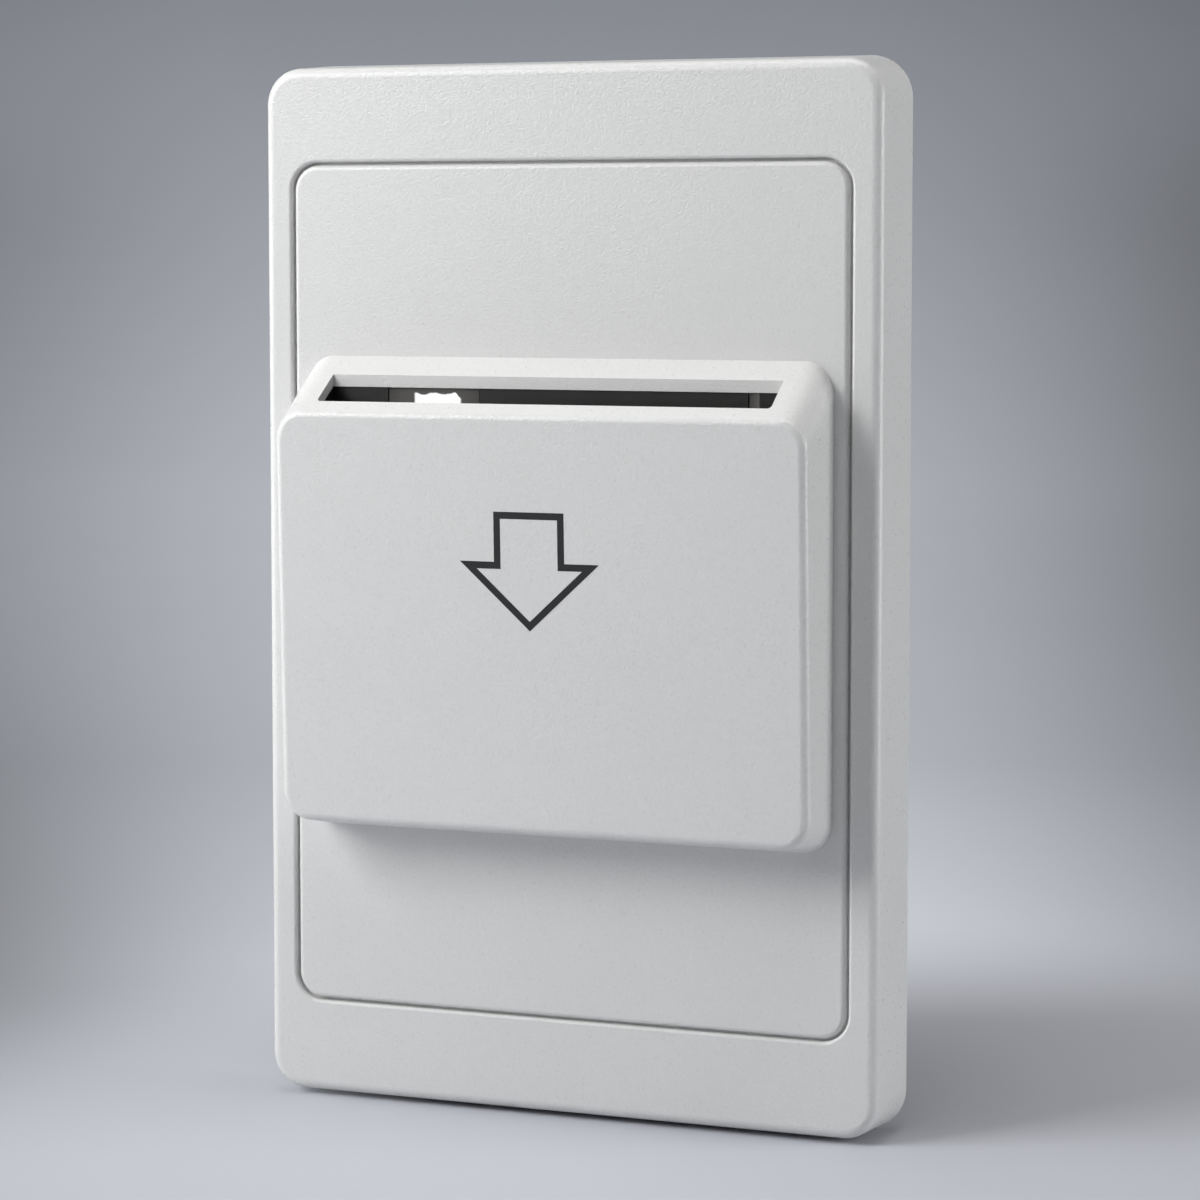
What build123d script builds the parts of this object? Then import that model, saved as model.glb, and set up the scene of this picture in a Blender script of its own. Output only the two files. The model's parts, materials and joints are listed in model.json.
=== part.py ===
from build123d import *
import os
from math import acos, asin, atan2, cos, degrees, pi, radians, sin, tan

# Hotel key card switch, in millimetres.
# The wall is the plane y = 0, the front faces -Y and +Z is up.
# The origin is the middle of the two wall screws, on the wall.

os.makedirs("parts", exist_ok=True)

# Clearances, and one overrun for every through cut
fit_gap = 0.15
running_gap = 0.05
pin_gap = 0.03
overrun = 1.0

# Wall plate
plate_width = 77.0
plate_height = 122.6
plate_depth = 9.4
plate_corner = 4.9
side_inset = 0.75
face_edge = 1.2
frame_wall = 1.8
frame_side = 4.1
frame_end = 11.65

# Fine groove between the frame and the centre panel
window_corner = 3.3
groove_width = 0.35
groove_depth = 1.0
window_edge = 0.4
panel_edge = 0.6
ledge_width = 2.4
ledge_thickness = 1.4

# Inside of the frame
frame_rib_thickness = 1.2
frame_rib_gap = 0.4
frame_rib_shares = (-0.38, -0.12, 0.12, 0.38)
catch_width = 9.0
catch_height = 1.1
catch_back = 0.9
catch_flat = 0.6
catch_ramp = 1.3
pry_notch_width = 10.0
pry_notch_depth = 1.6

# Centre panel
panel_rib_thickness = 1.0
panel_rib_depth = 2.0
panel_rib_gap = 3.6
panel_rib_shares = (-0.36, -0.12, 0.12, 0.36)
panel_hook_width = 6.0
panel_hook_reach = 1.2
panel_hook_depth = 1.8
panel_hook_root = 1.2
panel_hook_shares = (-0.36, 0.0, 0.36)

# Mounting plate
screw_spacing = 83.5
screw_slot_radius = 2.1
screw_slot_length = 8.0
slot_pad_margin = 2.6
slot_pad_height = 0.8
mount_side_gap = 2.9
mount_end_gap = 4.1
mount_corner = 3.0
mount_thickness = 2.5
mount_rim = 1.2
mount_rim_height = 1.5
housing_recess = 0.6

# Spring clips
clip_share = 0.2528
clip_width = 8.0
clip_strip = 0.4
clip_foot = 7.2
clip_bend = 0.9
clip_reach = 1.5
clip_crown_share = 0.311
clip_tip_share = 0.644
clip_tip_drop = 0.9
rivet_radius = 1.0
rivet_head_radius = 1.6
rivet_head_height = 0.6
rivet_inset = 2.6

# Rear housing
housing_width = 47.0
housing_end_gap = 8.75
housing_depth = 28.0
housing_corner = 3.0
housing_wall = 1.6
housing_draft = 0.8
housing_boss_radius = 2.6
housing_boss_side = 3.9
housing_boss_end = 3.8
housing_boss_length = 9.0
housing_screw_radius = 1.2
housing_screw_bite = 6.0
housing_head_radius = 2.2
housing_head_height = 1.4
vent_count = 5
vent_width = 1.6
vent_length = 10.0
vent_spacing = 4.2
vent_depth = 15.0
vent_middle = 8.0

# Lever that the card presses down, sized from the room between panel and plate
pivot_rise = 12.4
pivot_share = 0.46667
pin_share = 0.2222
hub_share = 0.4222
hub_left = 3.85
hub_right = 1.7
arm_gap = 0.33
arm_rest_angle = 10.0
arm_thickness_share = 0.4222
arm_width = 4.8
arm_nose_radius = 1.2
foot_length = 4.0
foot_thickness_share = 0.3556
foot_width = 3.2
foot_nose_share = 0.2
lever_travel = 18.0
lever_room = 0.6
ear_thickness = 1.6
ear_share = 0.4
ear_inner = 4.0
ear_rise = 6.4
pin_overhang = 0.5

# Lever return spring
spring_wire_share = 0.0889
spring_share = 0.3111
spring_turns = 2
spring_lead = 0.55
spring_start = 2.0
spring_arm_leg = 5.0
spring_hook_length = 2.2
coil_steps = 24
wire_sides = 8

# Card pocket
pocket_side_gap = 1.65
pocket_top = 27.1
pocket_lip_drop = 6.25
pocket_floor_drop = 7.5
pocket_floor_rise = 1.6
pocket_proud = 9.65
pocket_lean = 2.03
pocket_side_draft = 1.2
pocket_corner = 3.4
pocket_edge = 1.0
pocket_front_wall = 1.25
pocket_wall = 1.5
pocket_roof = 1.4
pocket_inner_corner = 1.8

# Card slot in the pocket's sloped top, for a card 54 wide and 0.8 thick
slot_side = 4.85
slot_setback = 3.2
slot_front_gap = 0.7
slot_corner = 0.45

# Pocket fixings
tab_width = 9.0
tab_thickness = 1.2
tab_root = 1.6
tab_nose = 1.2
tab_nose_depth = 1.2
tab_shares = (-0.34, 0.0, 0.34)
pocket_boss_radius = 2.4
pocket_boss_share = 0.3704
pocket_boss_rise = 3.7
pocket_boss_length = 5.4
pocket_screw_radius = 1.0
pocket_screw_bite = 4.0
pocket_head_radius = 1.9
pocket_head_height = 1.3

# Card guide, the dark liner
floor_drop = 0.1
liner_step = 0.3
liner_side = 0.15
guide_wall = 1.0
guide_floor = 1.2
guide_roof_gap = 0.2
guide_post_radius = 2.0
guide_post_side_share = 0.4422
guide_post_rise_shares = (0.56, 0.18)

# Light guide behind the slot
light_window_shares = (-0.3757, -0.167)
lit_stem_shares = (-0.3149, -0.2105)
side_light_shares = (0.423, 0.448)
light_sill_drop = 10.9
light_foot_height = 2.6
light_plate = 1.1
light_flush = 0.1
light_stem_height = 5.0
light_stem_end = 1.0
stem_room = 0.4

# Board
board_front = 3.7
board_thickness = 1.6
board_side_gap = 1.1
board_end_gap = 0.9
board_corner = 1.0
board_notch = 4.6
board_post_radius = 2.4
board_post_side = 3.2
board_post_gap = 0.3
board_post_bottom_share = -0.2295
board_screw_radius = 1.1
board_screw_bite = 5.0
board_head_radius = 1.9
board_head_height = 1.2

# Parts on the board: shares of its width, its height and the room behind it
relay_width_share = 0.4567
relay_height_share = 0.2525
relay_depth_share = 0.725
relay_place_shares = (-0.2284, 0.0754)
relay_edge = 0.6
film_width_share = 0.3125
film_height_share = 0.0984
film_depth_share = 0.57
film_place_shares = (0.1971, 0.2623)
film_edge = 0.5
can_radius_share = 0.0962
can_depth_share = 0.57
can_place_shares = (0.3558, 0.0787)
can_groove = 0.35
can_groove_height = 1.0
disc_radius_share = 0.1082
disc_thickness_share = 0.0865
disc_place_shares = (0.1058, 0.0754)
disc_stand = 0.4
fuse_radius_share = 0.0986
fuse_depth_share = 0.38
fuse_place_shares = (0.1538, -0.1574)
bridge_width_share = 0.2043
bridge_height_share = 0.1049
bridge_depth = 3.3
bridge_place_shares = (-0.0817, -0.1475)
dropper_radius_share = 0.0529
dropper_length_share = 0.1803
dropper_place_shares = (-0.274, -0.1672)
dropper_cap = 0.4
dropper_cap_length = 2.2
chip_width = 5.0
chip_height = 4.0
chip_depth = 1.5
chip_place_shares = (0.1923, 0.0492)
chip_leg_width = 0.4
chip_leg_length = 1.0
chip_leg_spacing = 1.27
chip_leg_depth = 0.6
chip_legs_per_side = 4
chip_resistor_width = 2.0
chip_resistor_height = 1.25
chip_resistor_depth = 0.55
chip_resistor_spacing = 4.0
chip_resistor_row_spacing = 5.0
chip_resistor_count = 4
chip_resistor_place_shares = (-0.1442, 0.0246)
lamp_radius = 1.5
lamp_flange_radius = 1.9
lamp_flange_height = 1.0
lamp_reach = 4.2

# Microswitch
switch_width = 12.8
switch_height = 5.8
switch_edge = 0.4
switch_mount_radius = 1.0
switch_mount_spacing = 6.5
switch_mount_back = 1.6
plunger_width = 3.0
plunger_height = 1.2
plunger_length = 3.0
plunger_edge = 0.4
plunger_gap = 0.1
plunger_spare = 0.25
plunger_room = 0.3
pin_spacing = 5.08
pin_width = 0.9
pin_thickness = 0.5
pin_tail_share = 0.305

# Terminals: a screw that stays put draws a clamp up under a fixed tongue
pole_count = 4
block_side_gap = 1.26
block_margin = 0.5
block_end_gap = 0.6
block_height = 11.0
block_back_gap = 1.2
block_edge = 0.4
block_floor = 1.2
block_roof = 0.4
chamber_share = 0.7612
screw_seat_depth = 2.0
screw_seat_wall = 0.8
terminal_screw_radius = 1.5
terminal_head_radius = 2.0
terminal_head_height = 1.4
driver_slot_width = 0.7
driver_slot_depth = 0.8
head_gap = 0.3
clamp_side_gap = 0.2
clamp_wall_share = 0.105
clamp_height = 5.4
clamp_bar = 1.0
clamp_nut = 1.8
clamp_nut_gap = 0.4
clamp_travel = 2.0
tongue_gap = 1.4
tongue_thickness = 1.0
tongue_share = 0.42
tongue_tip = 0.4
tongue_tail = 1.3
wire_radius = 1.75
wire_room = 0.1
driver_hole_radius = 2.3
wire_window_height = 6.4

# Sizes that follow from the ones above
window_width = plate_width - 2 * frame_side
window_height = plate_height - 2 * frame_end
panel_width = window_width - 2 * groove_width
panel_height = window_height - 2 * groove_width
panel_back = plate_depth - groove_depth - ledge_thickness
mount_width = plate_width - 2 * mount_side_gap
mount_height = plate_height - 2 * mount_end_gap
clip_x = clip_share * mount_width
housing_height = screw_spacing - 2 * housing_end_gap
housing_boss_x = housing_width / 2 - housing_boss_side
housing_boss_z = housing_height / 2 - housing_boss_end
tub_floor_y = housing_depth - housing_wall

lever_space = panel_back - mount_thickness
pivot_depth = mount_thickness + pivot_share * lever_space
pivot_z = pivot_rise - housing_height / 2
pin_radius = pin_share * lever_space
hub_radius = hub_share * lever_space
ear_radius = ear_share * lever_space
arm_thickness = arm_thickness_share * lever_space
foot_thickness = foot_thickness_share * lever_space
foot_nose_radius = foot_nose_share * lever_space
spring_wire = spring_wire_share * lever_space
spring_radius = spring_share * lever_space

channel_floor = pivot_z - floor_drop
lip_depth = plate_depth + pocket_proud
pocket_width = panel_width - 2 * pocket_side_gap
pocket_lip = pocket_top - pocket_lip_drop
pocket_bottom_back = channel_floor - pocket_floor_drop
pocket_bottom_front = pocket_bottom_back + pocket_floor_rise
slot_width = pocket_width - 2 * slot_side
slot_back = plate_depth + slot_setback
slot_opening = lip_depth - pocket_front_wall - slot_front_gap - slot_back
channel_back = slot_back - liner_step
channel_width = slot_width + 2 * liner_side
pocket_boss_x = pocket_boss_share * pocket_width
pocket_boss_z = pocket_bottom_back + pocket_boss_rise
guide_post_x = guide_post_side_share * channel_width
guide_post_heights = [
    channel_floor + share * (pocket_top - channel_floor) for share in guide_post_rise_shares
]
light_left, light_right = [share * slot_width for share in light_window_shares]
lit_left, lit_right = [share * slot_width for share in lit_stem_shares]
side_light_left, side_light_right = [share * slot_width for share in side_light_shares]
light_sill = pocket_top - light_sill_drop
light_foot = light_sill - light_foot_height
stem_middle = light_sill + light_stem_height / 2
lamp_z = stem_middle

board_width = housing_width - 2 * (housing_wall + board_side_gap)
board_height = housing_height - 2 * (housing_wall + board_end_gap)
board_back = board_front + board_thickness
board_room = tub_floor_y - board_back
board_post_x = board_width / 2 - board_post_side
board_post_top = lamp_z + lamp_flange_radius + board_head_radius + board_post_gap
board_post_bottom = board_post_bottom_share * board_height

block_width = 2 * (housing_boss_x - housing_boss_radius - block_side_gap)
pole_spacing = (block_width - 2 * block_margin) / pole_count
block_bottom = -housing_height / 2 + housing_wall + block_end_gap
block_top = block_bottom + block_height
block_back = tub_floor_y - block_back_gap
chamber_width = chamber_share * pole_spacing
clamp_wall = clamp_wall_share * pole_spacing
chamber_bottom = block_bottom + block_floor
chamber_top = block_top - block_roof
screw_seat = block_back - screw_seat_depth
chamber_roof = screw_seat - screw_seat_wall
clamp_width = chamber_width - 2 * clamp_side_gap
clamp_nut_front = chamber_roof - clamp_nut_gap - clamp_travel - clamp_nut
tongue_front = clamp_nut_front - tongue_gap - tongue_thickness
tongue_width = tongue_share * pole_spacing
wire_depth = tongue_front - wire_radius - wire_room / 2
clamp_bar_back = tongue_front - 2 * wire_radius - wire_room
clamp_front = clamp_bar_back - clamp_bar
pin_length = board_thickness + pin_tail_share * (clamp_front - board_back)


def wall_section(distance_in_front):
    """Sketch plane parallel to the wall, the given distance in front of it."""
    return Plane.XZ.offset(distance_in_front)


def save(builder, name):
    """Label a finished piece and write its STEP file."""
    builder.part.label = name
    export_step(builder.part, f"parts/{name}.step")


# Frame moulding: drafted rim, soft front edge, stepped window for the panel
side_draft = degrees(atan2(side_inset, plate_depth))
frame_face = plate_depth - panel_back
frame_rib_depth = panel_back - mount_thickness - mount_rim_height - frame_rib_gap
ledge_front = plate_depth - groove_depth
frame_inner_height = plate_height / 2 - frame_wall

with BuildPart() as trim_frame:
    with BuildSketch(Plane.XZ):
        RectangleRounded(plate_width, plate_height, plate_corner)
    extrude(amount=plate_depth, taper=side_draft)
    fillet(trim_frame.faces().sort_by(Axis.Y)[0].outer_wire().edges(), face_edge)
    with BuildSketch(Plane.XZ):
        RectangleRounded(
            plate_width - 2 * frame_wall, plate_height - 2 * frame_wall, plate_corner - frame_wall
        )
    extrude(amount=plate_depth - frame_face, taper=side_draft, mode=Mode.SUBTRACT)
    # ribs from the rim to the window, at top and bottom
    for side in (-1, 1):
        for share in frame_rib_shares:
            with BuildSketch(wall_section(plate_depth - frame_face)):
                with Locations((share * plate_width, side * (frame_inner_height + window_height / 2) / 2)):
                    Rectangle(frame_rib_thickness, frame_inner_height - window_height / 2)
            extrude(amount=-frame_rib_depth)
    with BuildSketch(wall_section(ledge_front)):
        RectangleRounded(window_width, window_height, window_corner)
    extrude(amount=groove_depth + overrun, mode=Mode.SUBTRACT)
    with BuildSketch(Plane.XZ):
        RectangleRounded(
            window_width - 2 * ledge_width, window_height - 2 * ledge_width, window_corner - ledge_width
        )
    extrude(amount=plate_depth, mode=Mode.SUBTRACT)
    fillet(trim_frame.faces().sort_by(Axis.Y)[0].inner_wires()[0].edges(), window_edge)
    # ridges inside the top and bottom walls that the spring clips snap over
    for side in (-1, 1):
        for x in (-clip_x, clip_x):
            with BuildSketch(Plane.YZ.offset(x)):
                Polygon(
                    (-catch_back, side * (frame_inner_height + frame_wall / 2)),
                    (-catch_back, side * (frame_inner_height - catch_height)),
                    (-catch_back - catch_flat, side * (frame_inner_height - catch_height)),
                    (-catch_back - catch_flat - catch_ramp, side * (frame_inner_height + frame_wall / 2)),
                )
            extrude(amount=catch_width / 2, both=True)
    # notch for a screwdriver in the bottom wall
    with BuildSketch(Plane.XZ):
        with Locations((0, -plate_height / 2)):
            Rectangle(pry_notch_width, 3 * frame_wall)
    extrude(amount=pry_notch_depth, mode=Mode.SUBTRACT)
save(trim_frame, "trim_frame")

# Places of the lever, which the panel, guide and pocket make room for
arm_length = lip_depth - (pocket_lip - pivot_z) * tan(radians(pocket_lean)) - pocket_front_wall - arm_gap
arm_length -= arm_nose_radius + pivot_depth
rest_angle = radians(arm_rest_angle)
pressed_angle = radians(arm_rest_angle - lever_travel)
arm_swing_top = pivot_z + arm_length * sin(rest_angle) + arm_nose_radius
arm_swing_bottom = pivot_z + arm_length * sin(pressed_angle) - arm_nose_radius
lever_window_top = arm_swing_top + lever_room
lever_window_bottom = arm_swing_bottom - lever_room
lever_window_width = arm_width + 2 * lever_room
lit_middle = (lit_left + lit_right) / 2
lit_width = lit_right - lit_left

# Centre panel: a stepped plate that drops on the frame's ledge
panel_corner = window_corner - groove_width
step_width = window_width - 2 * ledge_width - 2 * fit_gap
step_height = window_height - 2 * ledge_width - 2 * fit_gap
step_corner = window_corner - ledge_width - fit_gap / 2

with BuildPart() as centre_panel:
    with BuildSketch(wall_section(ledge_front)):
        RectangleRounded(panel_width, panel_height, panel_corner)
    extrude(amount=groove_depth)
    fillet(centre_panel.faces().sort_by(Axis.Y)[0].outer_wire().edges(), panel_edge)
    with BuildSketch(wall_section(ledge_front)):
        RectangleRounded(step_width, step_height, step_corner)
    extrude(amount=-ledge_thickness)
    # ribs on the back, above and below the pocket
    rib_end = step_height / 2 - fit_gap
    rib_spans = ((pocket_top + panel_rib_gap, rib_end), (pocket_bottom_back - panel_rib_gap, -rib_end))
    for inner_z, outer_z in rib_spans:
        for share in panel_rib_shares:
            with BuildSketch(wall_section(panel_back)):
                with Locations((share * step_width, (inner_z + outer_z) / 2)):
                    Rectangle(panel_rib_thickness, abs(outer_z - inner_z))
            extrude(amount=-panel_rib_depth)
    # hooks that grip behind the ledge on both sides
    for side in (-1, 1):
        for share in panel_hook_shares:
            with BuildSketch(Plane.XY.offset(share * panel_height)):
                Polygon(
                    (side * (step_width / 2 - panel_hook_root), -panel_back - groove_depth / 2),
                    (side * step_width / 2, -panel_back - groove_depth / 2),
                    (side * step_width / 2, -panel_back),
                    (side * (step_width / 2 + panel_hook_reach), -panel_back),
                    (side * step_width / 2, -panel_back + panel_hook_depth),
                    (side * (step_width / 2 - panel_hook_root), -panel_back + panel_hook_depth),
                )
            extrude(amount=panel_hook_width / 2, both=True)
    # windows for the lever and the light guide, slots for the pocket's tabs, screw holes
    with BuildSketch(Plane.XZ):
        with Locations((0, (lever_window_top + lever_window_bottom) / 2)):
            Rectangle(lever_window_width, lever_window_top - lever_window_bottom)
        with Locations((lit_middle, stem_middle)):
            Rectangle(lit_width + 2 * fit_gap, light_stem_height + 2 * fit_gap)
        tab_middle = pocket_top - pocket_roof - tab_thickness / 2
        with Locations(*[(share * pocket_width, tab_middle) for share in tab_shares]):
            Rectangle(tab_width + 2 * fit_gap, tab_thickness + 2 * fit_gap)
        with Locations((-pocket_boss_x, pocket_boss_z), (pocket_boss_x, pocket_boss_z)):
            Circle(pocket_screw_radius + fit_gap)
    extrude(amount=plate_depth + overrun, mode=Mode.SUBTRACT)
save(centre_panel, "centre_panel")

# Card pocket: side profile with a leaning front and a roof that falls to the front
lean_slope = tan(radians(pocket_lean))
roof_slope = pocket_lip_drop / pocket_proud


def front_depth(z):
    """Distance of the pocket's outer front face from the wall at height z."""
    return lip_depth - (pocket_lip - z) * lean_slope


def roof_height(depth):
    """Height of the pocket's outer roof at a distance from the wall."""
    return pocket_top - (depth - plate_depth) * roof_slope


inner_lip_z = roof_height(lip_depth - pocket_front_wall) - pocket_roof
inner_floor_back = pocket_bottom_back + pocket_roof
inner_floor_front = pocket_bottom_front + pocket_roof

with BuildPart() as card_pocket:
    with BuildSketch(Plane.YZ):
        Polygon(
            (-plate_depth, pocket_bottom_back),
            (-plate_depth, pocket_top),
            (-lip_depth, pocket_lip),
            (-front_depth(pocket_bottom_front), pocket_bottom_front),
        )
    extrude(amount=pocket_width / 2, both=True)
    draft(card_pocket.faces().filter_by(Axis.X), wall_section(plate_depth), pocket_side_draft)
    outer_corners = card_pocket.edges().filter_by(
        lambda edge: abs(edge.start_point().Y - edge.end_point().Y) > pocket_proud / 2
    )
    fillet(outer_corners, pocket_corner)
    fillet(card_pocket.faces().sort_by(Axis.Y)[0].outer_wire().edges(), pocket_edge)
    # inside of the shell, open to the panel
    with BuildPart(mode=Mode.SUBTRACT):
        with BuildSketch(Plane.YZ):
            Polygon(
                (-plate_depth + overrun, inner_floor_back),
                (-plate_depth + overrun, pocket_top - pocket_roof + overrun * roof_slope),
                (-lip_depth + pocket_front_wall, inner_lip_z),
                (-front_depth(inner_floor_front) + pocket_front_wall, inner_floor_front),
            )
        cavity = extrude(amount=pocket_width / 2 - pocket_wall, both=True)
        inner_corners = cavity.edges().filter_by(
            lambda edge: abs(edge.start_point().Y - edge.end_point().Y) > pocket_proud / 2
        )
        fillet(inner_corners, pocket_inner_corner)
    # card slot: square corners at the back, round ones at the front
    with BuildSketch(Plane.XY) as slot_outline:
        with Locations((0, -slot_back - slot_opening / 2)):
            Rectangle(slot_width, slot_opening)
        fillet(slot_outline.vertices().group_by(Axis.Y)[0], slot_corner)
    extrude(amount=pocket_top + overrun, mode=Mode.SUBTRACT)
    # tabs that hook behind the panel along the top
    for share in tab_shares:
        with BuildSketch(Plane.YZ.offset(share * pocket_width)):
            tab_top = pocket_top - pocket_roof
            nose_start = -panel_back + running_gap
            Polygon(
                (-plate_depth - tab_root, tab_top + pocket_roof / 4),
                (-plate_depth - tab_root, tab_top - tab_thickness),
                (nose_start + tab_nose_depth, tab_top - tab_thickness),
                (nose_start, tab_top + tab_nose),
                (nose_start, tab_top),
                (-plate_depth, tab_top),
                (-plate_depth, tab_top + pocket_roof / 4),
            )
        extrude(amount=tab_width / 2, both=True)
    # screw bosses on the floor
    with BuildSketch(wall_section(plate_depth)):
        with Locations((-pocket_boss_x, pocket_boss_z), (pocket_boss_x, pocket_boss_z)):
            Circle(pocket_boss_radius)
    extrude(amount=pocket_boss_length)
    with BuildSketch(wall_section(plate_depth)):
        with Locations((-pocket_boss_x, pocket_boss_z), (pocket_boss_x, pocket_boss_z)):
            Circle(pocket_screw_radius)
    extrude(amount=pocket_screw_bite + running_gap, mode=Mode.SUBTRACT)
save(card_pocket, "card_pocket")

with BuildPart() as pocket_screws:
    with BuildSketch(wall_section(panel_back)):
        with Locations((-pocket_boss_x, pocket_boss_z), (pocket_boss_x, pocket_boss_z)):
            Circle(pocket_head_radius)
    extrude(amount=-pocket_head_height)
    with BuildSketch(wall_section(panel_back)):
        with Locations((-pocket_boss_x, pocket_boss_z), (pocket_boss_x, pocket_boss_z)):
            Circle(pocket_screw_radius)
    extrude(amount=frame_face + pocket_screw_bite)
save(pocket_screws, "pocket_screws")

# Card guide: back wall, cheeks and floor of the channel, in dark plastic
guide_back = channel_back - guide_wall
guide_bottom = channel_floor - guide_floor


def guide_front(z):
    """Front edge of the guide's cheeks, just behind the pocket's front wall."""
    return front_depth(z) - pocket_front_wall - fit_gap


def guide_roof(depth):
    """Top edge of the guide, just below the pocket's roof."""
    return roof_height(depth) - pocket_roof - guide_roof_gap


guide_tip_depth = slot_back + slot_opening
with BuildPart() as card_guide:
    with BuildSketch(Plane.YZ):
        Polygon(
            (-guide_back, guide_bottom),
            (-guide_back, guide_roof(channel_back)),
            (-channel_back, guide_roof(channel_back)),
            (-guide_tip_depth, guide_roof(guide_tip_depth)),
            (-guide_front(guide_roof(guide_tip_depth)), guide_roof(guide_tip_depth) - guide_wall),
            (-guide_front(guide_bottom), guide_bottom),
        )
    extrude(amount=channel_width / 2 + guide_wall, both=True)
    with BuildSketch(wall_section(channel_back)):
        with Locations((0, (pocket_top + channel_floor) / 2)):
            Rectangle(channel_width, pocket_top - channel_floor)
    extrude(amount=pocket_proud, mode=Mode.SUBTRACT)
    # posts that stand on the panel
    with BuildSketch(wall_section(plate_depth)):
        with Locations(*[(x, z) for x in (-guide_post_x, guide_post_x) for z in guide_post_heights]):
            Circle(guide_post_radius)
    extrude(amount=guide_back - plate_depth)
    # opening for the lever in the back wall and the floor
    with BuildSketch(Plane.XZ):
        with Locations((0, (lever_window_top + lever_window_bottom) / 2)):
            Rectangle(lever_window_width, lever_window_top - lever_window_bottom)
        # windows for the light guide
        for left, right in ((light_left, light_right), (side_light_left, side_light_right)):
            with Locations(((left + right) / 2, (light_sill + pocket_top) / 2)):
                Rectangle(right - left, pocket_top - light_sill)
    extrude(amount=lip_depth, mode=Mode.SUBTRACT)
save(card_guide, "card_guide")

# Light guide: a frosted bar that fills both windows, with a stem back to the lamp
light_back = guide_back - light_plate
light_top = guide_roof(channel_back) - light_flush
with BuildPart() as light_guide:
    with BuildSketch(wall_section(light_back)):
        with Locations(((light_left + side_light_right) / 2, (light_foot + light_sill) / 2)):
            Rectangle(side_light_right - light_left, light_sill - light_foot)
        for left, right in ((light_left, light_right), (side_light_left, side_light_right)):
            with Locations(((left + right) / 2, (light_sill + light_top) / 2)):
                Rectangle(right - left - 2 * light_flush, light_top - light_sill)
    extrude(amount=light_plate)
    with BuildSketch(wall_section(light_back)):
        for left, right in ((light_left, light_right), (side_light_left, side_light_right)):
            with Locations(((left + right) / 2, (light_sill + light_flush + light_top) / 2)):
                Rectangle(right - left - 2 * light_flush, light_top - light_sill - light_flush)
    extrude(amount=channel_back - light_flush - light_back)
    with BuildSketch(wall_section(light_stem_end)):
        with Locations((lit_middle, stem_middle)):
            Rectangle(lit_width, light_stem_height)
    extrude(amount=light_back - light_stem_end)
save(light_guide, "light_guide")

# Microswitch places, worked out from the lever's foot
foot_angle = radians(lever_travel / 2)
foot_nose_y = -pivot_depth - foot_length * sin(foot_angle)
foot_nose_z = pivot_z - foot_length * cos(foot_angle)
plunger_tip_y = foot_nose_y + foot_nose_radius + running_gap
plunger_travel = foot_length * radians(lever_travel)
switch_front_y = plunger_tip_y + plunger_travel + plunger_spare
switch_z = foot_nose_z

# Mounting plate: flat against the wall, carries the clips, the lever and the housing
switch_window_width = switch_width + 2 * fit_gap
switch_window_height = switch_height + 2 * fit_gap
recess_margin = fit_gap
clip_notch_width = clip_width + 4 * fit_gap
rivet_z = mount_height / 2 - clip_foot + rivet_inset
ear_outer = ear_inner + ear_thickness
ear_web_back = pivot_depth - mount_thickness
clip_places = [(x, side) for x in (-clip_x, clip_x) for side in (-1, 1)]
housing_screw_places = [
    (x, z) for x in (-housing_boss_x, housing_boss_x) for z in (-housing_boss_z, housing_boss_z)
]

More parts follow.
